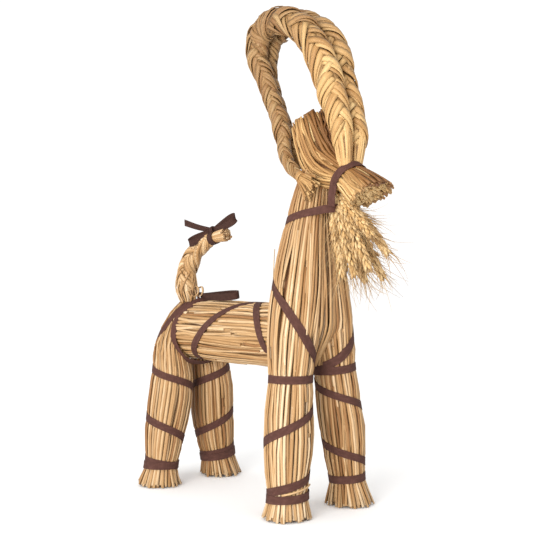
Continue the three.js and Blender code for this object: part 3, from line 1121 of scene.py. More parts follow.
@dataclass
class Closet:
    """The finishes, made once."""

    straw: Material
    golden: Material
    grain: Material
    bristle: Material
    tape: Material
    bow: Material

    @classmethod
    def filled(cls) -> Closet:
        """Makes every finish of the goat."""
        return cls(
            StrawFinish().material(),
            StrawFinish("golden_straw", GOLDEN_TONES).material(),
            GrainFinish().material(),
            BristleFinish().material(),
            TapeFinish().material(),
            # The bows' tape is the same tape drawn darker, as painted shade.
            TapeFinish(
                "bow_tape_painted_shade", (0.052, 0.021, 0.015), (0.085, 0.038, 0.028), (0.022, 0.009, 0.006)
            ).material(),
        )


@dataclass(frozen=True)
class Layer:
    """One layer of straws in a bundle: how many, how deep they lie, how much painted shade they take and how
    thick they are.
    """

    count: int
    sink: float
    shade: float
    half_width: float = 1.85
    half_depth: float = 1.15


@dataclass(frozen=True)
class Stray:
    """A loose straw: its place round the bundle, its keys, and how far its two ends stand off the form."""

    turn: Pair
    span: Pair
    lift: Pair
    half_width: float = 1.1


@dataclass(frozen=True)
class Bed:
    """What a bundle's straws follow.

    span draws the first and last key of a straw at an angle. splay says how far ends stand off the form at
    each key, and tint how much paler or darker a straw at an angle is at each key, partly as tone and partly
    as painted light and shade.
    """

    skin: Skin
    span: Callable[[float], Pair]
    splay: Callable[[Array], Array] = np.zeros_like
    tint: Callable[[float, Array], Array] = lambda angle, key: 0.0 * key
    shape: Shape = Shape.LONG


@dataclass
class Bundling:
    """How straws lie in a bundle: their drift, their uneven lie, their breaks, and how tapes pinch them.

    Stops lie closer under tapes, and no straw sinks below the share inmost of the bundle's half size.
    """

    drift: float = 0.075
    uneven: float = 0.5
    pinch: float = 1.5
    swell: float = 0.5
    broken: float = 0.25
    widest: float = 1.3
    closer: float = 6.0
    inmost: float = 0.86
    cut: Pair = (2.4, 1.8)
    samples: int = 140
    stops: int = 47

    def wander(self, rng: Chance, share: Array) -> Array:
        """Draws a slow wander along a straw.

        Args:
            rng: The source of chance.
            share: Places along the straw, from nought to one.

        Returns:
            Values about nought, within about one.
        """
        slow, quick = rng.uniform(0.3, 0.9), rng.uniform(1.2, 2.6)
        first, second = rng.uniform(0, TURN, 2)
        return 0.7 * np.sin(TURN * slow * share + first) + 0.3 * np.sin(TURN * quick * share + second)

    def lengths_of(self, rng: Chance, span: Pair) -> list[Pair]:
        """Breaks a straw's span, if this straw is a broken one.

        Args:
            rng: The source of chance.
            span: The first and last key of the whole straw.

        Returns:
            The spans of what is left of it.
        """
        if rng.uniform() > self.broken:
            return [span]
        low, high = span
        cut = low + (high - low) * rng.uniform(0.2, 0.85)
        gap = rng.uniform(0.5, 9.0)
        return [(low, cut - gap), (cut + gap, high)]

    def layers(self, sheaf: Sheaf, bed: Bed, layers: Sequence[Layer]) -> None:
        """Lays whole layers of straws round a bundle.

        Args:
            sheaf: Where they go.
            bed: What they follow.
            layers: The layers, from the outermost in.
        """
        rng = sheaf.rng
        for layer in layers:
            for i in range(layer.count):
                angle = TURN * (i + rng.uniform(-0.35, 0.35)) / layer.count
                stand = min(rng.exponential(), 2.6)
                for part in self.lengths_of(rng, bed.span(angle)):
                    self.straw(sheaf, bed, layer, angle, part, stand)

    def straw(
        self, sheaf: Sheaf, bed: Bed, layer: Layer, angle: float, span: Pair, stand: float
    ) -> None:
        """Lays one straw on a bundle.

        Args:
            sheaf: Where it goes.
            bed: What it follows.
            layer: Its layer.
            angle: Its angle round the bundle.
            span: Its first and last key.
            stand: How strongly its ends stand off.
        """
        rng = sheaf.rng
        skin = bed.skin
        key = np.linspace(span[0], span[1], self.samples)
        way = angle + self.drift * self.wander(rng, np.linspace(0.0, 1.0, self.samples))
        near = skin.tied(way, key)
        pace = np.cumsum(1.0 + self.closer * near)
        pace = (pace - pace[0]) / (pace[-1] - pace[0])
        even = np.linspace(0.0, 1.0, self.stops)
        key, way, near = (np.interp(even, pace, values) for values in (key, way, near))
        loose = 1.0 - near
        _, _, first, second = skin.core(key)
        room = 0.5 * TURN * np.sqrt(0.5 * (first**2 + second**2)) / layer.count
        wide = np.clip(room * rng.uniform(0.8, 1.4), 0.4 * layer.half_width, self.widest * layer.half_width)
        deep = layer.half_depth * rng.uniform(0.8, 1.15)
        uneven = self.uneven * (self.wander(rng, even) + rng.normal(0, 0.6))
        lift = -deep - layer.sink + self.swell * loose + uneven * (0.2 + 0.8 * loose) - self.pinch * near
        splay = bed.splay(key)
        lift = lift + stand * splay * loose**2
        lift = np.maximum(lift, -self.inmost * np.minimum(first, second))
        # Near the feet straws are drawn paler, partly as cut ends and partly as painted light, and take half
        # the painted shade.
        foot_tone_and_light = np.clip(splay, 0.0, 1.0)
        # A tint is partly tone and partly painted light and shade; a darker tint also adds painted shade.
        paler = bed.tint(angle, key)
        tone = np.clip(rng.beta(1.7, 1.7) + paler + 0.25 * foot_tone_and_light, 0.0, 1.0)
        shade = np.minimum(layer.shade + 0.5 * np.maximum(-paler, 0.0), 1.0) * (1.0 - 0.5 * foot_tone_and_light)
        points = skin.point(way, key, lift)
        sheaf.lay(bed.shape, points, skin.outward(way, key), wide, deep, tone, shade, flank=0.8)

    def stray(self, sheaf: Sheaf, skin: Skin, stray: Stray) -> None:
        """Lays one loose straw.

        Args:
            sheaf: Where it goes.
            skin: The bundle's form.
            stray: The straw.
        """
        rng = sheaf.rng
        key, turn, lift = (np.linspace(*ends, 17) for ends in (stray.span, stray.turn, stray.lift))
        angle = turn * TURN
        points = skin.point(angle, key, lift)
        sheaf.lay(Shape.SHORT, points, skin.outward(angle, key), stray.half_width, 0.6, rng.uniform(0.4, 0.9))

    def core(self, sheaf: Sheaf, skin: Skin, span: Pair, sink: float) -> None:
        """Lays the inside of a bundle: a tube with full painted shade.

        Args:
            sheaf: Where it goes.
            skin: The bundle's form.
            span: Its first and last key.
            sink: How far it keeps below the form.
        """
        key = np.linspace(span[0], span[1], 49)
        middle, over, deep, wide = skin.core(key)
        wide, deep = (np.maximum(half - sink, 0.35 * half) for half in (wide, deep))
        sheaf.lay(Shape.CORE, middle, over, wide, deep, 0.1, 1.0)

    def stubs(
        self,
        sheaf: Sheaf,
        skin: Skin,
        span: Pair,
        rings: Sequence[tuple[float, int]],
        uneven: float,
        slant: float = 0.0,
    ) -> None:
        """Fills a cut end with straw ends.

        Args:
            sheaf: Where they go.
            skin: The bundle's form.
            span: The key inside the bundle, and the key of the cut.
            rings: Shares of the bundle's half sizes, and how many straws stand on each ring.
            uneven: How unevenly they are cut.
            slant: How much further the cut is at the upper rim than in the middle.
        """
        rng = sheaf.rng
        for share, count in rings:
            for i in range(count):
                angle = TURN * (i + rng.uniform(-0.25, 0.25)) / count + share
                cut = span[1] + np.sign(span[0] - span[1]) * rng.uniform(0, uneven)
                key = np.linspace(span[0], cut + slant * share * math.sin(angle), 5)
                middle, over, _, _ = skin.core(key)
                rim = skin.point(np.full(key.shape, angle), key, 0.0)
                points = middle + (share + rng.normal(0, 0.02)) * (rim - middle)
                half = rng.uniform(1.4, 2.1)
                squash = rng.uniform(0.7, 1.0)
                sheaf.lay(Shape.STUB, points, over, half, half * squash, rng.beta(*self.cut), 0.04, flank=0.2)


# A foot: the heights where its straws end, how its splay dies away, and how far up its cut ends reach.
FOOT_CUT: Pair = (0.3, 6.0)
FOOT_SPLAY = 8.0
FOOT_FILL = 34.0
# How unevenly ends are cut, and how far a bundle's inside keeps from its cut ends and below its form.
CUT_UNEVEN = 5.0
CORE_START = 9.0
CORE_SINK = 5.5
FOOT_RINGS: Rings = ((0.78, 26), (0.62, 20), (0.46, 15), (0.3, 9), (0.14, 4), (0.01, 1))

FRONT_TAPES: dict[Side, Tie] = {
    Side.RIGHT: Tie((
        (1.22, 160), (0.63, 160), (0.13, 127), (-0.37, 85), (-0.87, 50), (-1.37, 28), (-1.87, 28), (-2.4, 23),
    ), lap=130.0),
    Side.LEFT: Tie((
        (-1.45, 163), (-1.37, 163), (-1.12, 166), (-0.87, 171), (-0.62, 162), (-0.37, 148), (0.13, 121),
        (0.63, 78), (1.13, 52), (1.63, 31.5), (2.13, 36), (2.25, 36.5),
    )),
}
CHEST_TAPES: dict[Side, Tie] = {
    Side.RIGHT: Tie((
        (0.2, 172), (0.13, 178), (0.005, 194), (-0.12, 225), (-0.245, 255), (-0.37, 271), (-0.5, 288),
    )),
    Side.LEFT: Tie((
        (0.5, 288), (0.3, 250), (0.13, 213), (0.0, 192), (-0.1, 178), (-0.2, 171), (-0.32, 167),
    )),
}
NECK_TAPES: dict[Side, Tie] = {
    Side.RIGHT: Tie(((-0.16, 353.5), (-0.25, 350), (-0.38, 345), (-0.5, 342))),
    Side.LEFT: Tie(((0.5, 342), (0.38, 345), (0.25, 350), (0.16, 353.5))),
}
HIND_TAPES: dict[Side, Tie] = {
    Side.RIGHT: Tie((
        (-0.6, 160), (-0.37, 156), (0.13, 131), (0.63, 89.5), (1.13, 63.5), (1.63, 34), (2.1, 26.5),
        (2.63, 26), (3.13, 28.5), (3.3, 29),
    ), lap=165.0),
    Side.LEFT: Tie((
        (0.5, 165), (0.13, 155), (-0.37, 127), (-0.87, 91), (-1.37, 59), (-1.87, 40), (-2.37, 30),
        (-2.87, 33), (-3.37, 26.5), (-3.5, 26),
    ), mirrored=True, lap=165.0),
}
RUMP_TAPE = Tie((
    (0.86, 274), (0.86, 264), (0.87, 255), (0.846, 244), (0.817, 235), (0.804, 226), (0.788, 217),
    (0.7625, 209), (0.72, 202), (0.65, 194), (0.58, 188), (0.5, 184),
), rounding=6.0)
# Points of the croup's tape on the right side, along X from the hind feet.
CROUP_STOPS: tuple[Point, ...] = (
    (28.5, 0, 246.5), (28, -9.7, 244.5), (26, -20.7, 239.5), (22.5, -28, 233), (18.5, -32.4, 226.5),
    (15, -36, 218.5), (13, -38.2, 210), (12, -38.6, 202.4), (12, -38.8, 193.7), (15.2, -37, 184.8),
    (18.6, -33.2, 175.9), (21.4, -28.5, 169.5), (24, -20, 165.5), (25.5, -9, 163.5), (26, 0, 163),
)
TRUNK_FRONT_TAPE = Tie((
    (-0.2, FRONT_X - 48), (0.0, FRONT_X - 66), (0.25, FRONT_X - 105), (0.44, FRONT_X - 67),
    (0.62, FRONT_X - 48),
))
TRUNK_TAPE = Tie((
    (0.2, FRONT_X - 96), (0.31, FRONT_X - 122), (0.45, FRONT_X - 162), (0.61, FRONT_X - 203),
    (0.75, FRONT_X - 214), (1.0, FRONT_X - 214), (1.25, FRONT_X - 210),
))
SNOUT_TAPE = Tie((
    (-0.1, SNOUT_TIE - 4), (0.0, SNOUT_TIE), (0.17, SNOUT_TIE + 5), (0.25, SNOUT_TIE + 6),
    (0.33, SNOUT_TIE + 5), (0.5, SNOUT_TIE), (0.6, SNOUT_TIE - 4),
))


@dataclass
class FrontBundle(Assembly):
    """Neck, chest and front legs: straws that run from the neck down into both legs."""

    layers: tuple[Layer, ...] = (Layer(44, 0.0, 0.0), Layer(43, 1.7, 0.24), Layer(32, 3.6, 0.55))
    bundling: Bundling = field(default_factory=lambda: Bundling(drift=0.1, widest=1.0))
    top: float = 419.0
    flare: float = 1.9
    # The near right half is painted lighter and the far left half darker, and the neck takes painted shade
    # under the head, growing upwards from neck_start over neck_length.
    side_painted_light: dict[Side, float] = field(default_factory=lambda: {Side.RIGHT: 0.08, Side.LEFT: -0.09})
    neck_painted_shade: float = 0.28
    neck_start: float = 205.0
    neck_length: float = 170.0
    breast: int = 11
    breast_foot: Pair = (171.0, 180.0)
    breast_length: float = 220.0
    fold_top: float = 226.0
    fold_height: float = 52.0
    fold_depth: float = 20.0
    dent: float = 2.8
    dent_reach: float = 8.0
    back_tapes: tuple[float, ...] = (288.0, 342.0)
    strays: tuple[Stray, ...] = (
        Stray((-0.39, -0.4), (276.0, 312.0), (-0.5, 5.5), 0.8),
        Stray((-0.33, -0.31), (196.0, 262.0), (0.2, 1.2)),
        Stray((-0.05, -0.08), (212.0, 330.0), (0.8, 0.2)),
        Stray((-0.16, 0.09), (31.0, 40.0), (1.2, 1.6), 1.3),
    )

    def build(self, patterns: Patterns) -> None:
        """Lays the straws of both halves, as Assembly.build asks."""
        sheaf = Sheaf(patterns, np.random.default_rng(11))
        rng = sheaf.rng
        for side in Side:
            skin = FrontSkin(side, (FRONT_TAPES[side], CHEST_TAPES[side], NECK_TAPES[side]))
            tint = self.side_painted_light[side]
            bed = Bed(
                skin,
                span=lambda angle: (rng.uniform(*FOOT_CUT), self.top),
                splay=lambda key: self.flare * np.exp(-key / FOOT_SPLAY),
                # Painted light and shade by side, and painted shade on the neck under the head.
                tint=lambda angle, key: (
                    tint - self.neck_painted_shade * np.maximum(key - self.neck_start, 0.0) / self.neck_length
                ),
            )
            self.bundling.layers(sheaf, bed, self.layers)
            for stray in self.strays if side is Side.RIGHT else ():
                self.bundling.stray(sheaf, skin, stray)
            self.bundling.core(sheaf, skin, (CORE_START, self.top), CORE_SINK)
            self.bundling.stubs(sheaf, skin, (FOOT_FILL, FOOT_CUT[0]), FOOT_RINGS, CUT_UNEVEN)
        self.lay_breast(sheaf)
        self.piece = sheaf.tie_up("straw_front")

    def lay_breast(self, sheaf: Sheaf) -> None:
        """Lays the straws that fill the fold between both halves, down to where the legs part.

        Args:
            sheaf: Where they go.
        """
        rng = sheaf.rng
        even = np.linspace(0.0, 1.0, self.bundling.stops)
        count = 2 * self.breast
        for face in (1.0, -1.0):
            tapes = self.back_tapes if face < 0 else ()
            for i in range(count):
                share, deeper = 2.0 * (i + 0.5) / count - 1.0, i % 2
                key = rng.uniform(*self.breast_foot) + self.breast_length * even
                ahead, out, deep, _ = FRONT_HALVES[Side.RIGHT].columns(key)
                fold = np.clip((self.fold_top - key) / self.fold_height, 0.0, 1.0)
                fold = fold**2 * (3 - 2 * fold)
                aside = (share + 0.13 * self.bundling.wander(rng, even)) * out * (1 - 0.5 * fold)
                uneven = 0.9 * self.bundling.wander(rng, even) - 1.8 * deeper + rng.uniform(-0.8, 0.4)
                crossed = sum(np.exp(-(((key - tape) / self.dent_reach) ** 2)) for tape in tapes)
                reach = deep - 0.8 + uneven - self.fold_depth * fold - self.dent * crossed
                x = FRONT_X + ahead + face * reach
                points = np.stack([x, aside, key], axis=1)
                outward = np.broadcast_to(face * AHEAD, points.shape)
                half = np.clip(rng.uniform(0.65, 0.9) * out / self.breast, 1.0, 2.1)
                # Every second straw lies deeper and takes painted shade.
                sheaf.lay(Shape.LONG, points, outward, half, 1.1, rng.beta(1.5, 1.7), 0.04 + 0.5 * deeper)

    def dress(self, closet: Closet) -> None:
        """Dresses the bundle, as Assembly.dress asks."""
        settle(self.piece, [closet.straw], ["front_bundle"])


@dataclass
class HindBundle(Assembly):
    """Rump and hind legs: straws laid over the rump, both ends of which are legs."""

    layers: tuple[Layer, ...] = (Layer(45, 0.0, 0.0), Layer(42, 1.7, 0.2), Layer(28, 3.6, 0.5))
    bundling: Bundling = field(default_factory=Bundling)
    flare: float = 2.2
    tint: float = -0.13
    # The far left half takes painted shade.
    left_painted_shade: float = 0.06

    def build(self, patterns: Patterns) -> None:
        """Lays the straws, as Assembly.build asks."""
        sheaf = Sheaf(patterns, np.random.default_rng(12))
        rng = sheaf.rng
        skin = HindSkin((*HIND_TAPES.values(), RUMP_TAPE))
        whole = 2 * CREST_WAY
        bed = Bed(
            skin,
            span=lambda angle: (rng.uniform(*FOOT_CUT), whole - rng.uniform(*FOOT_CUT)),
            splay=lambda key: self.flare * (np.exp(-key / FOOT_SPLAY) + np.exp((key - whole) / FOOT_SPLAY)),
            tint=lambda angle, key: self.tint - self.left_painted_shade * (key > CREST_WAY),
            shape=Shape.ARCH,
        )
        self.bundling.layers(sheaf, bed, self.layers)
        self.bundling.core(sheaf, skin, (CORE_START, whole - CORE_START), CORE_SINK)
        for span in ((FOOT_FILL, FOOT_CUT[0]), (whole - FOOT_FILL, whole - FOOT_CUT[0])):
            self.bundling.stubs(sheaf, skin, span, FOOT_RINGS, CUT_UNEVEN)
        self.piece = sheaf.tie_up("straw_hind")

    def dress(self, closet: Closet) -> None:
        """Dresses the bundle, as Assembly.dress asks."""
        settle(self.piece, [closet.straw], ["hind_bundle"])


@dataclass
class TrunkBundle(Assembly):
    """The body: straws along X, pinched under the hind bundle."""

    layers: tuple[Layer, ...] = (Layer(62, 0.0, 0.0), Layer(58, 1.7, 0.2), Layer(44, 3.6, 0.5))
    bundling: Bundling = field(default_factory=lambda: Bundling(drift=0.06))
    rings: Rings = ((0.78, 24), (0.56, 16), (0.34, 9), (0.12, 4))
    tint: float = -0.07
    overlap: float = 2.0
    uneven: float = 6.0
    core_start: float = 12.0
    fill: float = 30.0

    def build(self, patterns: Patterns) -> None:
        """Lays the straws, as Assembly.build asks."""
        sheaf = Sheaf(patterns, np.random.default_rng(13))
        rng = sheaf.rng
        skin = TrunkSkin((TRUNK_FRONT_TAPE, TRUNK_TAPE))
        front = TRUNK_END + self.overlap
        bed = Bed(
            skin,
            span=lambda angle: (TRUNK_REAR + rng.uniform(0, self.uneven), front),
            tint=lambda angle, key: self.tint + 0.0 * key,
        )
        self.bundling.layers(sheaf, bed, self.layers)
        self.bundling.core(sheaf, skin, (TRUNK_REAR + self.core_start, front), CORE_SINK)
        self.bundling.stubs(sheaf, skin, (TRUNK_REAR + self.fill, TRUNK_REAR), self.rings, CUT_UNEVEN)
        self.piece = sheaf.tie_up("straw_trunk")

    def dress(self, closet: Closet) -> None:
        """Dresses the bundle, as Assembly.dress asks."""
        settle(self.piece, [closet.straw], ["trunk_bundle"])


@dataclass
class HeadBundle(Assembly):
    """The head: a short bundle cut at the poll and at the snout, tied behind the snout."""

    layers: tuple[Layer, ...] = (
        Layer(42, 0.0, 0.0, 1.7, 1.1), Layer(40, 1.6, 0.2, 1.7, 1.1), Layer(28, 3.4, 0.5, 1.7, 1.1),
    )
    # Its cut ends at poll and snout are drawn paler, as painted light.
    bundling: Bundling = field(default_factory=lambda: Bundling(0.15, 0.85, 1.2, cut=(4.0, 1.1)))
    length: float = 134.0
    rings: Rings = ((0.86, 36), (0.71, 29), (0.56, 23), (0.41, 17), (0.26, 10), (0.1, 4))
    tint: float = -0.03
    # The head's top beside the horns takes painted shade, and the snout past its tie is painted lighter.
    top_painted_shade: float = 1.4
    top_shade_turn: float = 0.29
    snout_painted_light: float = 0.28
    slant: float = 12.0
    poll_cut: Pair = (-8.0, -2.0)
    snout_cut: Pair = (-5.0, 2.0)
    core_ends: Pair = (12.0, 20.0)
    core_sink: float = 5.0
    poll_fill: Pair = (30.0, -6.0)
    snout_fill: float = 34.0
    snout_uneven: float = 6.0

    def build(self, patterns: Patterns) -> None:
        """Lays the straws, as Assembly.build asks."""
        sheaf = Sheaf(patterns, np.random.default_rng(14))
        rng = sheaf.rng
        skin = LineSkin(HEAD_LINE, ties=(SNOUT_TAPE,))
        bed = Bed(
            skin,
            span=lambda angle: (
                rng.uniform(*self.poll_cut),
                self.length + self.slant * math.sin(angle) + rng.uniform(*self.snout_cut),
            ),
            # Painted light past the snout's tie, and painted shade on the top beside the horns.
            tint=lambda angle, key: (
                self.snout_painted_light * (key > SNOUT_TIE) + self.tint
                - self.top_painted_shade * max(math.cos(angle - self.top_shade_turn * TURN), 0.0) ** 4
            ),
        )
        self.bundling.layers(sheaf, bed, self.layers)
        self.bundling.core(sheaf, skin, (self.core_ends[0], self.length - self.core_ends[1]), self.core_sink)
        self.bundling.stubs(sheaf, skin, self.poll_fill, self.rings, CUT_UNEVEN)
        snout = (self.length - self.snout_fill, self.length)
        self.bundling.stubs(sheaf, skin, snout, self.rings, self.snout_uneven, self.slant)
        self.piece = sheaf.tie_up("straw_head")

    def dress(self, closet: Closet) -> None:
        """Dresses the bundle, as Assembly.dress asks."""
        settle(self.piece, [closet.golden], ["head_bundle"])


@dataclass(frozen=True)
class Band:
    """One band of a plait: its edge, where it crosses it, the way to the next, and how it differs."""

    edge: float
    middle: float
    pitch: float
    lean: float
    raised: float
    tone: float


@dataclass
class Plait:
    """A plait of three strands: bands of flat straws wrap over both edges and tuck in along the middle.

    A band's straws tuck under from tuck_from degrees on, earlier by tuck_shift towards its far side.
    """

    skin: LineSkin
    pitch: Pairs
    turns: Pairs = ((0.0, 0.0), (1.0, 0.0))
    # Painted shade along the plait, by its way.
    painted_shade_along: Pairs = ((0.0, 0.0), (1.0, 0.0))
    straws: int = 4
    advance: float = 1.5
    reach: float = 108.0
    bulge: float = 0.27
    ragged: float = 0.07
    tuck: float = 0.375
    fill: float = 1.65
    pale: Pair = (3.6, 2.7)
    frayed: float = 0.15
    firm_end: float = 40.0
    tuck_from: float = 96.0
    tuck_shift: float = 46.0
    tuck_over: float = 34.0
    slant: float = 0.76
    widths: Pair = (0.7, 1.22)
    flat: float = 0.27
    core: float = 0.8
    lining: int = 14
    lining_sink: float = 0.15
    lining_width: float = 0.55
    stops: int = 29
    inner_stops: int = 85

    def run(self, way: Array, angle: Array, lift: Array | float) -> tuple[Array, Array]:
        """Follows the plait's section, which may turn along the way.

        Args:
            way: Ways along the plait.
            angle: Angles from its upper edge.
            lift: Distances off its section.

        Returns:
            Rows of points, and the directions straight off the section.
        """
        ways, degrees = np.array(self.turns).T
        turned = 0.25 * TURN - angle - np.radians(np.interp(way, ways, degrees))
        return self.skin.point(turned, way, lift), self.skin.outward(turned, way)

    def lay(self, sheaf: Sheaf, first: float, last: float) -> None:
        """Lays the bands of both edges, the shaded inside and the straws that line it.

        Args:
            sheaf: Where they go.
            first: The way where the plait starts.
            last: The way where it ends.
        """
        rng = sheaf.rng
        ways, pitches = np.array(self.pitch).T
        for edge in (1.0, -1.0):
            middle = first + 0.5 * pitches[0] * (edge < 0)
            while middle < last:
                pitch = float(np.interp(middle, ways, pitches))
                band = Band(edge, middle + 0.06 * pitch * rng.normal(), pitch, *rng.normal(0, 1, 3))
                for i in range(self.straws):
                    self.lay_straw(sheaf, band, i, (first, last))
                middle += pitch
        way = np.linspace(0.0, last, self.inner_stops)
        line, over, deep, wide = self.skin.core(way)
        # The inside is a tube with painted shade, and the straws that line it take painted shade too.
        sheaf.lay(Shape.BENT, line, over, self.core * wide, self.core * deep, 0.1, 0.95)
        for i in range(self.lining):
            share = i / self.lining
            points, outward = self.run(way, np.full(way.shape, TURN * share), -self.lining_sink * deep)
            half = self.lining_width * math.pi * (wide + deep) / self.lining
            sheaf.lay(Shape.BENT, points, outward, half, 0.6, 0.3 + 0.5 * (3 * share % 1.0), 0.6, flank=0.5)

    def lay_straw(self, sheaf: Sheaf, band: Band, i: int, ends: Pair) -> None:
        """Lays one straw of a band.

        Args:
            sheaf: Where it goes.
            band: The band.
            i: Which straw of the band.
            ends: The plait's ends.
        """
        rng = sheaf.rng
        swing = np.linspace(-1.0, 1.0, self.stops)
        share = (i + 0.5) / self.straws
        slope = self.advance * self.reach / 180.0 * (1.0 + 0.18 * band.lean + rng.uniform(-0.12, 0.12))
        way = band.middle + band.pitch * (share - 0.5 + rng.normal(0, 0.03) + slope * swing)
        way = np.clip(way, *ends)
        angle = np.radians(self.reach) * swing * -band.edge + (math.pi if band.edge < 0 else 0.0)
        deep = self.skin.rows.columns(way)[4]
        early = self.tuck_from - self.tuck_shift * np.where(swing > 0, share, 1.0 - share)
        under = np.clip((self.reach * np.abs(swing) - early) / self.tuck_over, 0.0, 1.0)
        profile = 1.0 - (2.0 * share - 1.0) ** 2
        lift = deep * (self.bulge * (profile - 0.65) + self.ragged * band.raised + 0.025 * rng.normal())
        if rng.uniform() < self.frayed and band.middle < ends[1] - self.firm_end:
            lift = lift + rng.uniform(1.0, 4.5) * np.clip(swing - 0.1, 0.0, 1.0) ** 1.5
        else:
            lift = lift - self.tuck * deep * under**1.5
        points, outward = self.run(way, angle, lift)
        half = 0.5 * band.pitch / self.straws * self.slant * self.fill * rng.uniform(*self.widths)
        tone = float(np.clip(rng.beta(*self.pale) + 0.06 * band.tone, 0.3, 1.0))
        # Each band takes the painted shade given for its place along the plait.
        shade = float(np.interp(band.middle, *np.array(self.painted_shade_along).T))
        sheaf.lay(Shape.BAND, points, outward, half, self.flat * half, tone, shade, flank=0.4)

    def lay_root(self, sheaf: Sheaf, last: float, count: int) -> None:
        """Lays the straight straws below the first crossing.

        Args:
            sheaf: Where they go.
            last: The way where they tuck in.
            count: How many there are.
        """
        rng = sheaf.rng
        for i in range(count):
            way = np.linspace(0.0, last * rng.uniform(0.8, 1.1), 17)
            angle = TURN * (i + rng.uniform(-0.3, 0.3)) / count + 0.35 * rng.normal() * way / last
            lift = -0.4 - 2.8 * np.clip((way / last - 0.6) / 0.4, 0, 1)
            points, outward = self.run(way, angle, lift)
            half = rng.uniform(1.4, 2.2)
            sheaf.lay(Shape.SHORT, points, outward, half, 0.7, rng.beta(*self.pale), flank=0.6)


@dataclass
class Horns(Assembly):
    """Two plaits that rise from the snout's tie, loop back and down, and end in a tied fan at the neck.

    Straight straws rise to root_end, and the crossings start over them at plait_start.
    """

    pitch: Pairs = (
        (0.0, 28.0), (215.0, 28.0), (235.0, 22.0), (295.0, 22.0), (320.0, 24.0), (500.0, 19.0),
    )
    tie: float = 504.0
    root_straws: int = 22
    root_end: float = 66.0
    plait_start: float = 30.0
    turns: Pairs = (
        (0.0, -47.0), (120.0, -45.0), (205.0, -12.0), (225.0, 0.0), (295.0, 205.0), (330.0, 222.0),
        (500.0, 227.0),
    )
    # Painted shade along the horns: their top and back are drawn darker.
    painted_shade_along: Pairs = (
        (0, 0.0), (90, 0.02), (130, 0.16), (180, 0.48), (230, 0.7), (290, 0.64), (500, 0.62),
    )
    fan: int = 34
    fan_length: float = 29.0
    fan_spread: float = 0.3
    fan_path: Point = (0.84, 0.0, -0.54)

    def build(self, patterns: Patterns) -> None:
        """Lays both plaits and their ends, as Assembly.build asks."""
        self.pieces: dict[Side, Piece] = {}
        for side in Side:
            sheaf = Sheaf(patterns, np.random.default_rng(20 + side.value))
            plait = Plait(LineSkin(HORN_LINES[side], side), self.pitch, self.turns, self.painted_shade_along)
            plait.lay_root(sheaf, self.root_end, self.root_straws)
            plait.lay(sheaf, self.plait_start, self.tie + 2.0)
            self.lay_fan(sheaf, plait.skin)
            self.pieces[side] = sheaf.tie_up(f"plait_horn_{side.name.lower()}")

    def lay_fan(self, sheaf: Sheaf, skin: LineSkin) -> None:
        """Lays the wrapped tie at the plait's end and the cut straws that fan out of it.

        Args:
            sheaf: Where they go.
            skin: The plait's line.
        """
        rng = sheaf.rng
        turn = np.linspace(0, 3 * TURN, 60)
        way = self.tie - 3.0 + 2.2 * turn / TURN
        sheaf.lay(Shape.ARCH, skin.point(turn, way, 0.7), skin.outward(turn, way), 1.3, 0.6, 0.35, 0.1)
        middle = skin.middle(np.array([self.tie]))[0]
        forward = unit(np.array(self.fan_path))
        over = np.cross(forward, LEFT)
        out = skin.side.value * LEFT
        share = np.linspace(0, 1, 9)[:, None]
        for i in range(self.fan):
            lean = self.fan_spread * ((i + 0.5) / self.fan * 2 - 1) + rng.normal(0, 0.15)
            path = math.cos(lean) * forward + math.sin(lean) * over + 0.1 * rng.normal() * out
            length = self.fan_length * rng.uniform(0.75, 1.0)
            root = middle + 4.5 * (i / self.fan * 2 - 1) * over + rng.uniform(-1.0, 3.5) * out
            points = root + length * share * (path - 0.1 * share * UP)
            outward = np.broadcast_to(out, points.shape)
            sheaf.lay(Shape.SHORT, points, outward, rng.uniform(1.1, 1.8), 0.8, rng.beta(1.6, 2.6), 0.14)

    def dress(self, closet: Closet) -> None:
        """Dresses the horns, as Assembly.dress asks."""
        for side, piece in self.pieces.items():
            settle(piece, [closet.golden], [f"horn_{side.name.lower()}"])


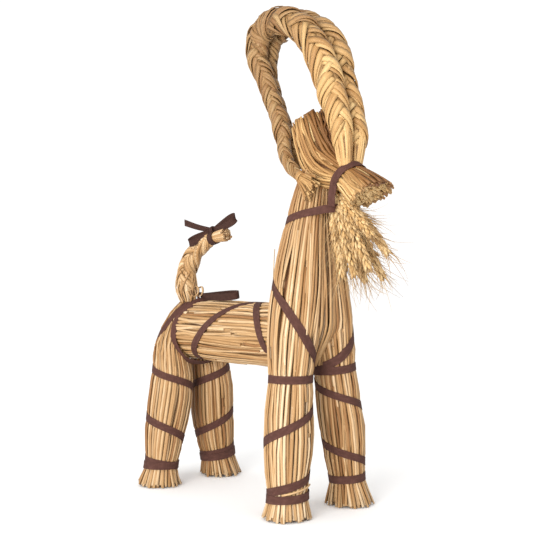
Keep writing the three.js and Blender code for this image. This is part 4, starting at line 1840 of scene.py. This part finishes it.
@dataclass
class Tail(Assembly):
    """A short plait that rises from the rump and bends forward, loose at its foot and cut at its tied end."""

    pitch: Pairs = ((0.0, 28.0), (60.0, 26.0), (120.0, 18.0))
    length: float = 150.0
    loose: int = 30
    brush: int = 16
    curl: Point = (FRONT_X - 226.0, -9.0, 258.0)
    curl_steps: Pair = (5.0, 4.0)

    def build(self, patterns: Patterns) -> None:
        """Lays the plait, its loose foot and its cut end, as Assembly.build asks."""
        sheaf = Sheaf(patterns, np.random.default_rng(31))
        skin = LineSkin(TAIL_LINE)
        plait = Plait(
            skin, self.pitch, straws=5, advance=1.9, bulge=0.19, ragged=0.035, fill=1.55,
            pale=(2.2, 2.0), frayed=0.1,
        )
        plait.lay(sheaf, 2.0, TAIL_TIE + 2.0)
        self.lay_brush(sheaf, skin)
        self.lay_foot(sheaf, skin)
        self.piece = sheaf.tie_up("plait_tail")

    def lay_brush(self, sheaf: Sheaf, skin: LineSkin) -> None:
        """Lays the cut straws past the tie.

        Args:
            sheaf: Where they go.
            skin: The tail's line.
        """
        rng = sheaf.rng
        for ring, count in ((0.85, self.brush), (0.5, self.brush // 2), (0.15, 3)):
            for i in range(count):
                angle = np.full(9, TURN * (i + rng.uniform(-0.2, 0.2)) / count)
                way = np.linspace(TAIL_TIE - 4, self.length - rng.uniform(0, 6), 9)
                middle = skin.middle(way)
                points = middle + ring * (skin.point(angle, way, 0.0) - middle)
                outward = skin.outward(angle, way)
                sheaf.lay(Shape.SHORT, points, outward, 1.9, 1.4, rng.beta(2.4, 1.5), 0.03, flank=0.5)

    def lay_foot(self, sheaf: Sheaf, skin: LineSkin) -> None:
        """Lays the loose straws that spread from the plait's foot over the rump, and two curled ones.

        Args:
            sheaf: Where they go.
            skin: The tail's line.
        """
        rng = sheaf.rng
        share = np.linspace(0, 1, 17)
        for i in range(self.loose):
            angle = TURN * (i + rng.uniform(-0.3, 0.3)) / self.loose + 0.6 * share * rng.normal()
            way = np.linspace(rng.uniform(26, 48), -3.0 - rng.uniform(0, 5), 17)
            lift = rng.uniform(-1.5, 0.5) + rng.uniform(1.0, 6.0) * np.sin(math.pi * share**1.6)
            points = skin.point(angle, np.maximum(way, 0.0), lift)
            points[:, 2] += np.minimum(way, 0.0)
            outward = skin.outward(angle, np.maximum(way, 0.0))
            sheaf.lay(Shape.SHORT, points, outward, rng.uniform(0.9, 1.9), 0.55, rng.beta(2.6, 1.5), 0.0)
        for i in range(2):
            turn = np.linspace(-0.3, rng.uniform(0.5, 0.75), 25) * TURN
            round_x, round_z = rng.uniform(3.5, 6.5), rng.uniform(6.0, 9.5)
            x = self.curl[0] + self.curl_steps[0] * i + round_x * np.sin(turn)
            y = self.curl[1] + self.curl_steps[1] * i + turn
            points = np.stack([x, y, self.curl[2] - round_z * np.cos(turn)], axis=1)
            outward = np.stack([np.sin(turn), 0 * turn, -np.cos(turn)], axis=1)
            sheaf.lay(Shape.LONG, points, outward, 1.9, 0.5, 0.6 + 0.1 * i, 0.0)

    def dress(self, closet: Closet) -> None:
        """Dresses the tail, as Assembly.dress asks."""
        settle(self.piece, [closet.straw], ["tail_braid"])


@dataclass
class Beard(Assembly):
    """Wheat ears in close pairs that fan out from behind the snout's tie: stalks, grains and bristles."""

    ears: int = 8
    fan: Point = (FRONT_X + 24.5, 0.0, 382.5)
    pitch: Pair = (37.0, 6.4)
    yaw: Pair = (8.0, 2.5)
    stalk: float = 6.0
    spike_start: Pair = (14.0, 32.0)
    spike_length: tuple[float, ...] = (64.0, 74.0, 88.0, 94.0, 96.0, 90.0, 78.0, 70.0)
    levels: int = 18
    around: int = 5
    grain: tuple[float, float, float] = (10.5, 2.0, 1.6)
    girth: float = 2.6
    bristle: Pair = (12.0, 34.0)
    bristle_half: float = 0.38
    bristled: float = 0.5
    foremost: float = FRONT_X + 152.0
    droop: float = 9.0
    droop_start: float = 40.0
    droop_length: float = 60.0

    def build(self, patterns: Patterns) -> None:
        """Lays every pair of ears, as Assembly.build asks."""
        self.pieces: list[Piece] = []
        for index in range(self.ears):
            sheaf = Sheaf(patterns, np.random.default_rng(40 + index))
            rng = sheaf.rng
            side = -1 if index % 2 == 0 else 1
            pitch, yaw = self.pitch[0] + self.pitch[1] * index, side * (self.yaw[0] + self.yaw[1] * index)
            begin, length = rng.uniform(*self.spike_start), self.spike_length[index]
            self.lay_ear(sheaf, pitch, yaw, begin, length)
            self.lay_ear(sheaf, pitch + rng.uniform(1, 7), -0.5 * yaw, rng.uniform(5, 16), 0.85 * length)
            self.pieces.append(sheaf.tie_up(f"ear_{index + 1}"))

    def lay_ear(
        self, sheaf: Sheaf, pitch: float, yaw: float, begin: float, length: float
    ) -> None:
        """Lays one ear.

        Args:
            sheaf: Where it goes.
            pitch: How steeply it hangs, in degrees.
            yaw: How far it turns to the left, in degrees.
            begin: The way from the tie to its first grains.
            length: The length of its grains' part.
        """
        rng = sheaf.rng
        pitch, yaw = math.radians(pitch), math.radians(yaw)
        flat = np.array([math.cos(yaw), math.sin(yaw), 0.0])
        forward = math.cos(pitch) * flat - math.sin(pitch) * UP
        across = unit(np.cross(UP, forward))
        over = np.cross(forward, across)

        def line(way: Array) -> Array:
            """Gives points of the ear's drooping middle line at the given ways."""
            past = np.maximum(way - self.droop_start, 0.0) / self.droop_length
            sag = self.droop * math.cos(pitch) * past**2
            return np.array(self.fan) + way[:, None] * forward - sag[:, None] * UP

        reach = length - self.grain[0]
        way = np.linspace(self.stalk, begin + reach, 9)
        sheaf.lay(Shape.SHORT, line(way), np.broadcast_to(over, (9, 3)), 1.6, 1.5, rng.beta(2, 2), 0.1)
        for level in range(self.levels):
            share = level / (self.levels - 1)
            root = begin + share * reach
            girth = (0.65 + 0.9 * math.sin(math.pi * min(share * 0.9 + 0.14, 1.0))) * self.girth
            for k in range(self.around):
                angle = TURN * (k + 0.5 * (level % 2)) / self.around + rng.normal(0, 0.16)
                out = math.cos(angle) * across + math.sin(angle) * over
                lean = rng.uniform(0.14, 0.46)
                way = root + np.linspace(0, self.grain[0] * rng.uniform(0.9, 1.15), 5)
                spread = girth * 0.75 + lean * (way - root)
                points = line(way) + spread[:, None] * out
                size = rng.uniform(0.85, 1.15)
                sheaf.lay(
                    Shape.GRAIN, points, np.broadcast_to(out, points.shape),
                    self.grain[1] * size, self.grain[2] * size, rng.beta(2.8, 1.4), 0.0,
                )
                if rng.uniform() < self.bristled or share > 0.85:
                    self.lay_bristle(sheaf, points[-1], unit(forward + (lean + 0.05) * out), out)

    def lay_bristle(self, sheaf: Sheaf, root: Array, path: Array, out: Array) -> None:
        """Lays a bristle from a grain's tip.

        Args:
            sheaf: Where it goes.
            root: Where it starts.
            path: The way it starts off.
            out: The direction out from its ear.
        """
        rng = sheaf.rng
        share = np.linspace(0, 1, 7)[:, None]
        length = rng.uniform(*self.bristle)
        bend = rng.normal(0.1, 0.26) * out + rng.normal(0, 0.2, 3)
        points = root + length * share * (path + share * bend)
        points[:, 0] = np.minimum(points[:, 0], self.foremost)
        outward, half = np.broadcast_to(out, points.shape), self.bristle_half
        sheaf.lay(Shape.BRISTLE, points, outward, half, half, rng.uniform(0, 1), 0.0, finish=1)

    def dress(self, closet: Closet) -> None:
        """Dresses the ears, as Assembly.dress asks."""
        for index, piece in enumerate(self.pieces):
            settle(piece, [closet.grain, closet.bristle], [f"wheat_ear_{index + 1}"])


@dataclass
class TapeStrip:
    """A length of woven tape, from the rows of points across it."""

    name: str
    width: float = 9.5
    thick: float = 0.9
    columns: int = 5

    def on_skin(self, skin: Skin, trace: Array, lift: Array | float) -> Array:
        """Lays the tape on a bundle.

        Args:
            skin: The bundle's form.
            trace: Rows of angle and key.
            lift: How far the tape's middle is off the form, at each row or one for all.

        Returns:
            Rows of points across the tape.
        """
        angle, key = trace.T
        step = 0.01
        round_way = (skin.point(angle + step, key, lift) - skin.point(angle - step, key, lift)) / (2 * step)
        along_way = (skin.point(angle, key + 0.5, lift) - skin.point(angle, key - 0.5, lift))
        forward = unit(np.gradient(skin.point(angle, key, lift), axis=0))
        across = unit(np.cross(skin.outward(angle, key), forward))
        turn = np.sum(across * unit(round_way), axis=1) / np.linalg.norm(round_way, axis=1)
        climb = np.sum(across * unit(along_way), axis=1) / np.linalg.norm(along_way, axis=1)
        rows = []
        for offset in np.linspace(-0.5, 0.5, self.columns) * self.width:
            rows.append(skin.point(angle + offset * turn, key + offset * climb, lift))
        return np.stack(rows, axis=1)

    def through(self, points: Array, upright: Array) -> Array:
        """Lays the tape free through points.

        Args:
            points: The tape's middle line.
            upright: The direction across the tape, one or one for each point.

        Returns:
            Rows of points across the tape.
        """
        forward = unit(np.gradient(points, axis=0))
        upright = np.broadcast_to(upright, points.shape)
        across = unit(upright - forward * np.sum(upright * forward, axis=1, keepdims=True))
        offsets = np.linspace(-0.5, 0.5, self.columns) * self.width
        return points[:, None, :] + offsets[None, :, None] * across[:, None, :]

    def weave(self, grid: Array) -> Piece:
        """Models the tape: a grid moved to its place and thickened.

        Args:
            grid: Rows of points across the tape.

        Returns:
            The new piece.
        """
        rows, columns = grid.shape[:2]
        fresh()
        bpy.ops.mesh.primitive_grid_add(x_subdivisions=columns - 1, y_subdivisions=rows - 1, size=1.0)
        piece = bpy.context.object
        piece.name = piece.data.name = self.name
        mesh = piece.data
        flat = np.array([v.co[:2] for v in mesh.vertices]) + 0.5
        column = np.rint(flat[:, 0] * (columns - 1)).astype(int)
        row = np.rint(flat[:, 1] * (rows - 1)).astype(int)
        mesh.vertices.foreach_set("co", (grid[row, column] * MM).ravel())
        way = lengths(grid[:, columns // 2])
        chart = np.stack([column / (columns - 1) * self.width, way[row]], axis=1) / CHART_CM
        corner = np.array([loop.vertex_index for loop in mesh.loops])
        mesh.uv_layers[0].name = "chart"
        mesh.uv_layers[0].data.foreach_set("uv", chart[corner].ravel())
        mesh.update()
        bpy.ops.object.shade_smooth()
        thicken = piece.modifiers.new("thickness", "SOLIDIFY")
        thicken.thickness = self.thick * MM
        thicken.offset = 0.0
        bpy.ops.object.modifier_apply(modifier=thicken.name)
        bpy.ops.object.shade_smooth_by_angle(angle=math.radians(50))
        return piece


def joined(name: str, pieces: Sequence[Piece]) -> Piece:
    """Joins pieces into one.

    Args:
        name: The piece's name.
        pieces: What is joined.

    Returns:
        The one piece.
    """
    fresh()
    for piece in pieces:
        piece.select_set(True)
    bpy.context.view_layer.objects.active = pieces[0]
    bpy.ops.object.join()
    whole = bpy.context.object
    whole.name = whole.data.name = name
    return whole


def curve_through(stops: Sequence[Point], count: int) -> Array:
    """Draws a smooth line through points.

    Args:
        stops: The points.
        count: How many points are wanted.

    Returns:
        Rows of points along the line.
    """
    table = np.array(stops, dtype=float)
    rows = Rows(np.concatenate([lengths(table)[:, None], table], axis=1))
    return rows(np.linspace(0, lengths(table)[-1], count))


@dataclass
class Tapes(Assembly):
    """The tapes round legs, chest, neck, snout, trunk, croup and rump.

    An end sinks by tuck over tuck_length, and a turn that laps over another rises by lapped over lap_rise.
    """

    lift: float = -0.5
    tuck: float = 4.5
    tuck_length: float = 10.0
    lapped: float = 0.95
    lap_rise: float = 12.0
    croup_lift: float = 1.2
    croup_facing: Point = (0.02, 0.025, 0.022)
    snout_lift: float = 0.4
    neck_front: tuple[Point, ...] = (
        (FRONT_X + 25, 22.5, 357), (FRONT_X + 36, 12, 358.5), (FRONT_X + 39, 0, 359),
    )
    snout_foot: tuple[Point, ...] = ((FRONT_X + 41, -20, 371), (FRONT_X + 38, -17, 361))
    snout_facing: Point = (0.25, -0.95, 0.1)

    def build(self, patterns: Patterns) -> None:
        """Lays every tape, as Assembly.build asks."""
        self.pieces: list[tuple[Piece, list[str]]] = []
        fronts = {side: FrontSkin(side) for side in Side}
        hind, trunk = HindSkin(), TrunkSkin()
        for side in Side:
            label = side.name.lower()
            for leg, skin, ties in (("front", fronts[side], FRONT_TAPES), ("hind", hind, HIND_TAPES)):
                self.wind(f"tape_{leg}_leg_{label}", skin, ties[side], [f"ribbon_{leg}_leg_{label}"])
        self.wind("tape_trunk_front", trunk, TRUNK_FRONT_TAPE, ["ribbon_trunk_front"])
        self.wind("tape_trunk", trunk, TRUNK_TAPE, ["ribbon_trunk"])
        self.wind("tape_rump", hind, RUMP_TAPE, [])
        self.round_croup()
        self.round_chest(fronts)
        self.round_neck(fronts)
        self.round_snout()

    def wind(self, name: str, skin: Skin, tie: Tie, stands_for: list[str]) -> None:
        """Winds one tape on a bundle, its ends tucked in between the straws.

        Args:
            name: The piece's name.
            skin: The bundle's form.
            tie: The tape's way.
            stands_for: The model's nodes that it shows in place of.
        """
        strip = TapeStrip(name)
        trace = tie.trace()
        way = lengths(trace * np.array([tie.girth, 1.0]))
        ends = np.minimum(way, way[-1] - way)
        lift = self.lift - self.tuck * np.clip(1.0 - ends / self.tuck_length, 0.0, 1.0)
        lift = lift + self.lapped * np.clip((tie.lap - way[-1] + way) / self.lap_rise, 0.0, 1.0)
        self.pieces.append((strip.weave(strip.on_skin(skin, trace, lift)), stands_for))

    def round_croup(self) -> None:
        """Lays the tape round the body just before the hind legs, closed under the belly."""
        strip = TapeStrip("tape_croup")
        right = [(HIND_X + x, y, z) for x, y, z in CROUP_STOPS]
        left = [(x, -y, z) for x, y, z in reversed(right[:-1])]
        points = curve_through(right + left, 97)
        facing = unit((points - np.array([HIND_X, 0.0, TRUNK_HEIGHT])) * np.array(self.croup_facing))
        points = points + self.croup_lift * facing
        grid = strip.through(points, np.cross(facing, np.gradient(points, axis=0)))
        self.pieces.append((strip.weave(grid), []))

    def round_chest(self, fronts: dict[Side, FrontSkin]) -> None:
        """Lays the tape that rises from between the legs over both sides of the chest to the withers.

        Args:
            fronts: The two halves of the front bundle.
        """
        strip = TapeStrip("tape_chest")
        halves = [strip.on_skin(fronts[side], CHEST_TAPES[side].trace(), self.lift) for side in Side]
        self.pieces.append((strip.weave(np.concatenate(halves)), ["ribbon_chest"]))

    def round_neck(self, fronts: dict[Side, FrontSkin]) -> None:
        """Lays the tape round the neck and the stalks of the beard.

        Args:
            fronts: The two halves of the front bundle.
        """
        strip = TapeStrip("tape_neck")
        right, left = (strip.on_skin(fronts[side], NECK_TAPES[side].trace(), self.lift) for side in Side)
        mirrored = [(x, -y, z) for x, y, z in reversed(self.neck_front[:-1])]
        front = strip.through(curve_through([*self.neck_front, *mirrored], 15), -UP)
        whole = np.concatenate([right, left, front[1:-1], right[:1]])
        self.pieces.append((strip.weave(whole), ["ribbon_neck"]))

    def round_snout(self) -> None:
        """Lays the tape over the snout, crossing down on both sides to the neck's tape."""
        strip = TapeStrip("tape_snout")
        skin = LineSkin(HEAD_LINE)
        over = strip.on_skin(skin, SNOUT_TAPE.trace(), self.snout_lift)
        down = curve_through([tuple(over[-1, 2]), *self.snout_foot], 8)
        facing = np.broadcast_to(np.array(self.snout_facing), down.shape)
        link = strip.through(down, np.cross(facing, np.gradient(down, axis=0)))[1:]
        if np.sum((link[0, 0] - link[0, -1]) * (over[-1, 0] - over[-1, -1])) < 0:
            link = link[:, ::-1]
        other = link[::-1, ::-1] * np.array([1.0, -1.0, 1.0])
        if np.sum((other[0, 0] - other[0, -1]) * (over[0, 0] - over[0, -1])) < 0:
            other = other[:, ::-1]
        self.pieces.append((strip.weave(np.concatenate([other, over, link])), ["ribbon_snout"]))

    def dress(self, closet: Closet) -> None:
        """Dresses the tapes, as Assembly.dress asks."""
        for piece, stands_for in self.pieces:
            settle(piece, [closet.tape], stands_for)


@dataclass
class Bow:
    """A bow of tape: a wrapped knot, loops and free ends."""

    name: str
    knot: Point
    loops: tuple[tuple[Point, Point], ...]
    ends: tuple[tuple[Point, ...], ...]
    upright: Point = (0.2, -0.3, 0.93)
    knot_half: Pair = (5.0, 5.6)
    gather: float = 0.6

    def tie(self) -> list[Piece]:
        """Models the knot, the loops and the ends.

        Returns:
            The bow's strips.
        """
        knot, upright = np.array(self.knot), np.array(self.upright)
        strips = []
        strip = TapeStrip(self.name)
        t = np.linspace(0, 1, 33)[:, None]
        for reach, opening in self.loops:
            path = knot + np.array(reach) * np.sin(math.pi * t) ** 0.85 + np.array(opening) * np.sin(TURN * t)
            strips.append(strip.weave(self.gathered(path, strip.through(path, upright), np.sin(math.pi * t))))
        for end in self.ends:
            path = curve_through([self.knot] + [tuple(knot + np.array(step)) for step in end], len(t))
            strips.append(strip.weave(self.gathered(path, strip.through(path, upright), t)))
        strips.append(self.wrap(knot, unit(np.array(self.loops[0][0])), upright))
        return strips

    def gathered(self, path: Array, grid: Array, free: Array) -> Array:
        """Narrows a strip's rows towards the knot, where free is nought."""
        share = self.gather + (1.0 - self.gather) * np.clip(free, 0.0, 1.0) ** 0.7
        return path[:, None] + (grid - path[:, None]) * share[:, None]

    def wrap(self, knot: Array, along: Array, upright: Array) -> Piece:
        """Models the turn of tape that makes the knot.

        Args:
            knot: The knot's middle.
            along: The direction of the loop.
            upright: The direction across the tape.

        Returns:
            The knot's strip.
        """
        strip = TapeStrip(self.name, columns=7)
        angle = np.linspace(0, TURN, 25)[:, None]
        over = unit(upright - along * np.dot(upright, along))
        aside = np.cross(along, over)
        path = knot + self.knot_half[0] * np.cos(angle) * aside + self.knot_half[1] * np.sin(angle) * over
        grid = strip.through(path, along + 0.12 * aside)
        edge = np.abs(np.linspace(-1, 1, strip.columns)) ** 2.5
        return strip.weave(grid + (knot - grid) * (0.30 * edge)[None, :, None])


@dataclass
class Bows(Assembly):
    """The bow at the tail's end, with the tape round the tail, and the bow on the rump."""

    tail: Bow = field(default_factory=lambda: Bow(
        "bow_of_tail", (FRONT_X - 198, 0, 340),
        (((49, -3, 15), (2, -3, -4.5)), ((-36, -12, -16), (2, -3, -3))),
        (((-28, -3, 5), (-54, -6, 12)),), upright=(0.1, -0.3, 0.95),
    ))
    rump: Bow = field(default_factory=lambda: Bow(
        "bow_of_rump", (HIND_X + 21, 0, 251), (((96, -16, 4), (2, -8, -2)),), (), gather=0.9,
    ))
    tail_ring: float = 8.6

    def build(self, patterns: Patterns) -> None:
        """Ties both bows, as Assembly.build asks."""
        skin = LineSkin(TAIL_LINE)
        strip = TapeStrip("tail_ring")
        turn = np.linspace(0, 1.04, 30) * TURN
        way = np.full(turn.shape, TAIL_TIE)
        across, over = skin.axes(way)
        spoke = np.cos(turn)[:, None] * across + np.sin(turn)[:, None] * over
        path = skin.middle(way) + self.tail_ring * spoke
        ring = strip.weave(strip.through(path, np.cross(across, over)))
        self.tail_piece = joined("bow_of_tail", [*self.tail.tie(), ring])
        self.rump_piece = joined("bow_of_rump", self.rump.tie())

    def dress(self, closet: Closet) -> None:
        """Dresses the bows, as Assembly.dress asks."""
        settle(self.tail_piece, [closet.bow], ["bow_tail"])
        settle(self.rump_piece, [closet.bow], ["bow_rump"])


@dataclass
class Studio:
    """A level camera in front of the goat's right shoulder, a pale floor, and soft light from the left.

    The picture's width and the focal length are in pixels.
    """

    eye: Point = (0.90684, -0.85066, 0.287)
    heading: float = 47.4
    sensor: float = 36.0
    picture: float = 540.0
    focal: float = 1000.0
    key_power: float = 76.0
    key_place: Point = (0.95, -2.3, 0.65)
    key_aim: Point = (0.0, 0.0, 0.25)
    key_size: float = 1.3
    sky: float = 1.08

    def place_camera(self) -> None:
        """Adds the camera and makes it the scene's."""
        data = bpy.data.cameras.new("view")
        data.lens = self.sensor * self.focal / self.picture
        data.sensor_width = self.sensor
        camera = bpy.data.objects.new("view", data)
        camera.location = self.eye
        camera.rotation_euler = (math.radians(90.0), 0.0, math.radians(self.heading))
        bpy.context.scene.collection.objects.link(camera)
        bpy.context.scene.camera = camera

    def light(self) -> None:
        """Adds the floor, the key light and the bright surroundings."""
        fresh()
        bpy.ops.mesh.primitive_plane_add(size=60.0)
        floor = bpy.context.object
        floor.name = "floor"
        floor.data.materials.append(FloorFinish().material())
        data = bpy.data.lights.new("key", "AREA")
        data.energy = self.key_power
        data.size = self.key_size
        key = bpy.data.objects.new("key", data)
        key.location = self.key_place
        key.rotation_euler = (Vector(self.key_aim) - key.location).to_track_quat("-Z", "Y").to_euler()
        bpy.context.scene.collection.objects.link(key)
        world = bpy.data.worlds.new("bright_room")
        world.use_nodes = True
        sky = world.node_tree.nodes["Background"].inputs
        sky["Color"].default_value = (1.0, 1.0, 1.0, 1.0)
        sky["Strength"].default_value = self.sky
        bpy.context.scene.world = world
        bpy.context.scene.view_settings.view_transform = "Standard"


def main() -> None:
    """Builds the goat and its studio."""
    logging.basicConfig(level=logging.INFO, format="%(name)s: %(message)s")
    studio = Studio()
    studio.place_camera()
    studio.light()
    patterns = Patterns()
    closet = Closet.filled()
    parts: list[Assembly] = [
        FrontBundle(), TrunkBundle(), HindBundle(), HeadBundle(), Horns(), Tail(), Beard(), Tapes(), Bows(),
    ]
    for part in parts:
        part.build(patterns)
        part.dress(closet)


if __name__ == "__main__":
    main()
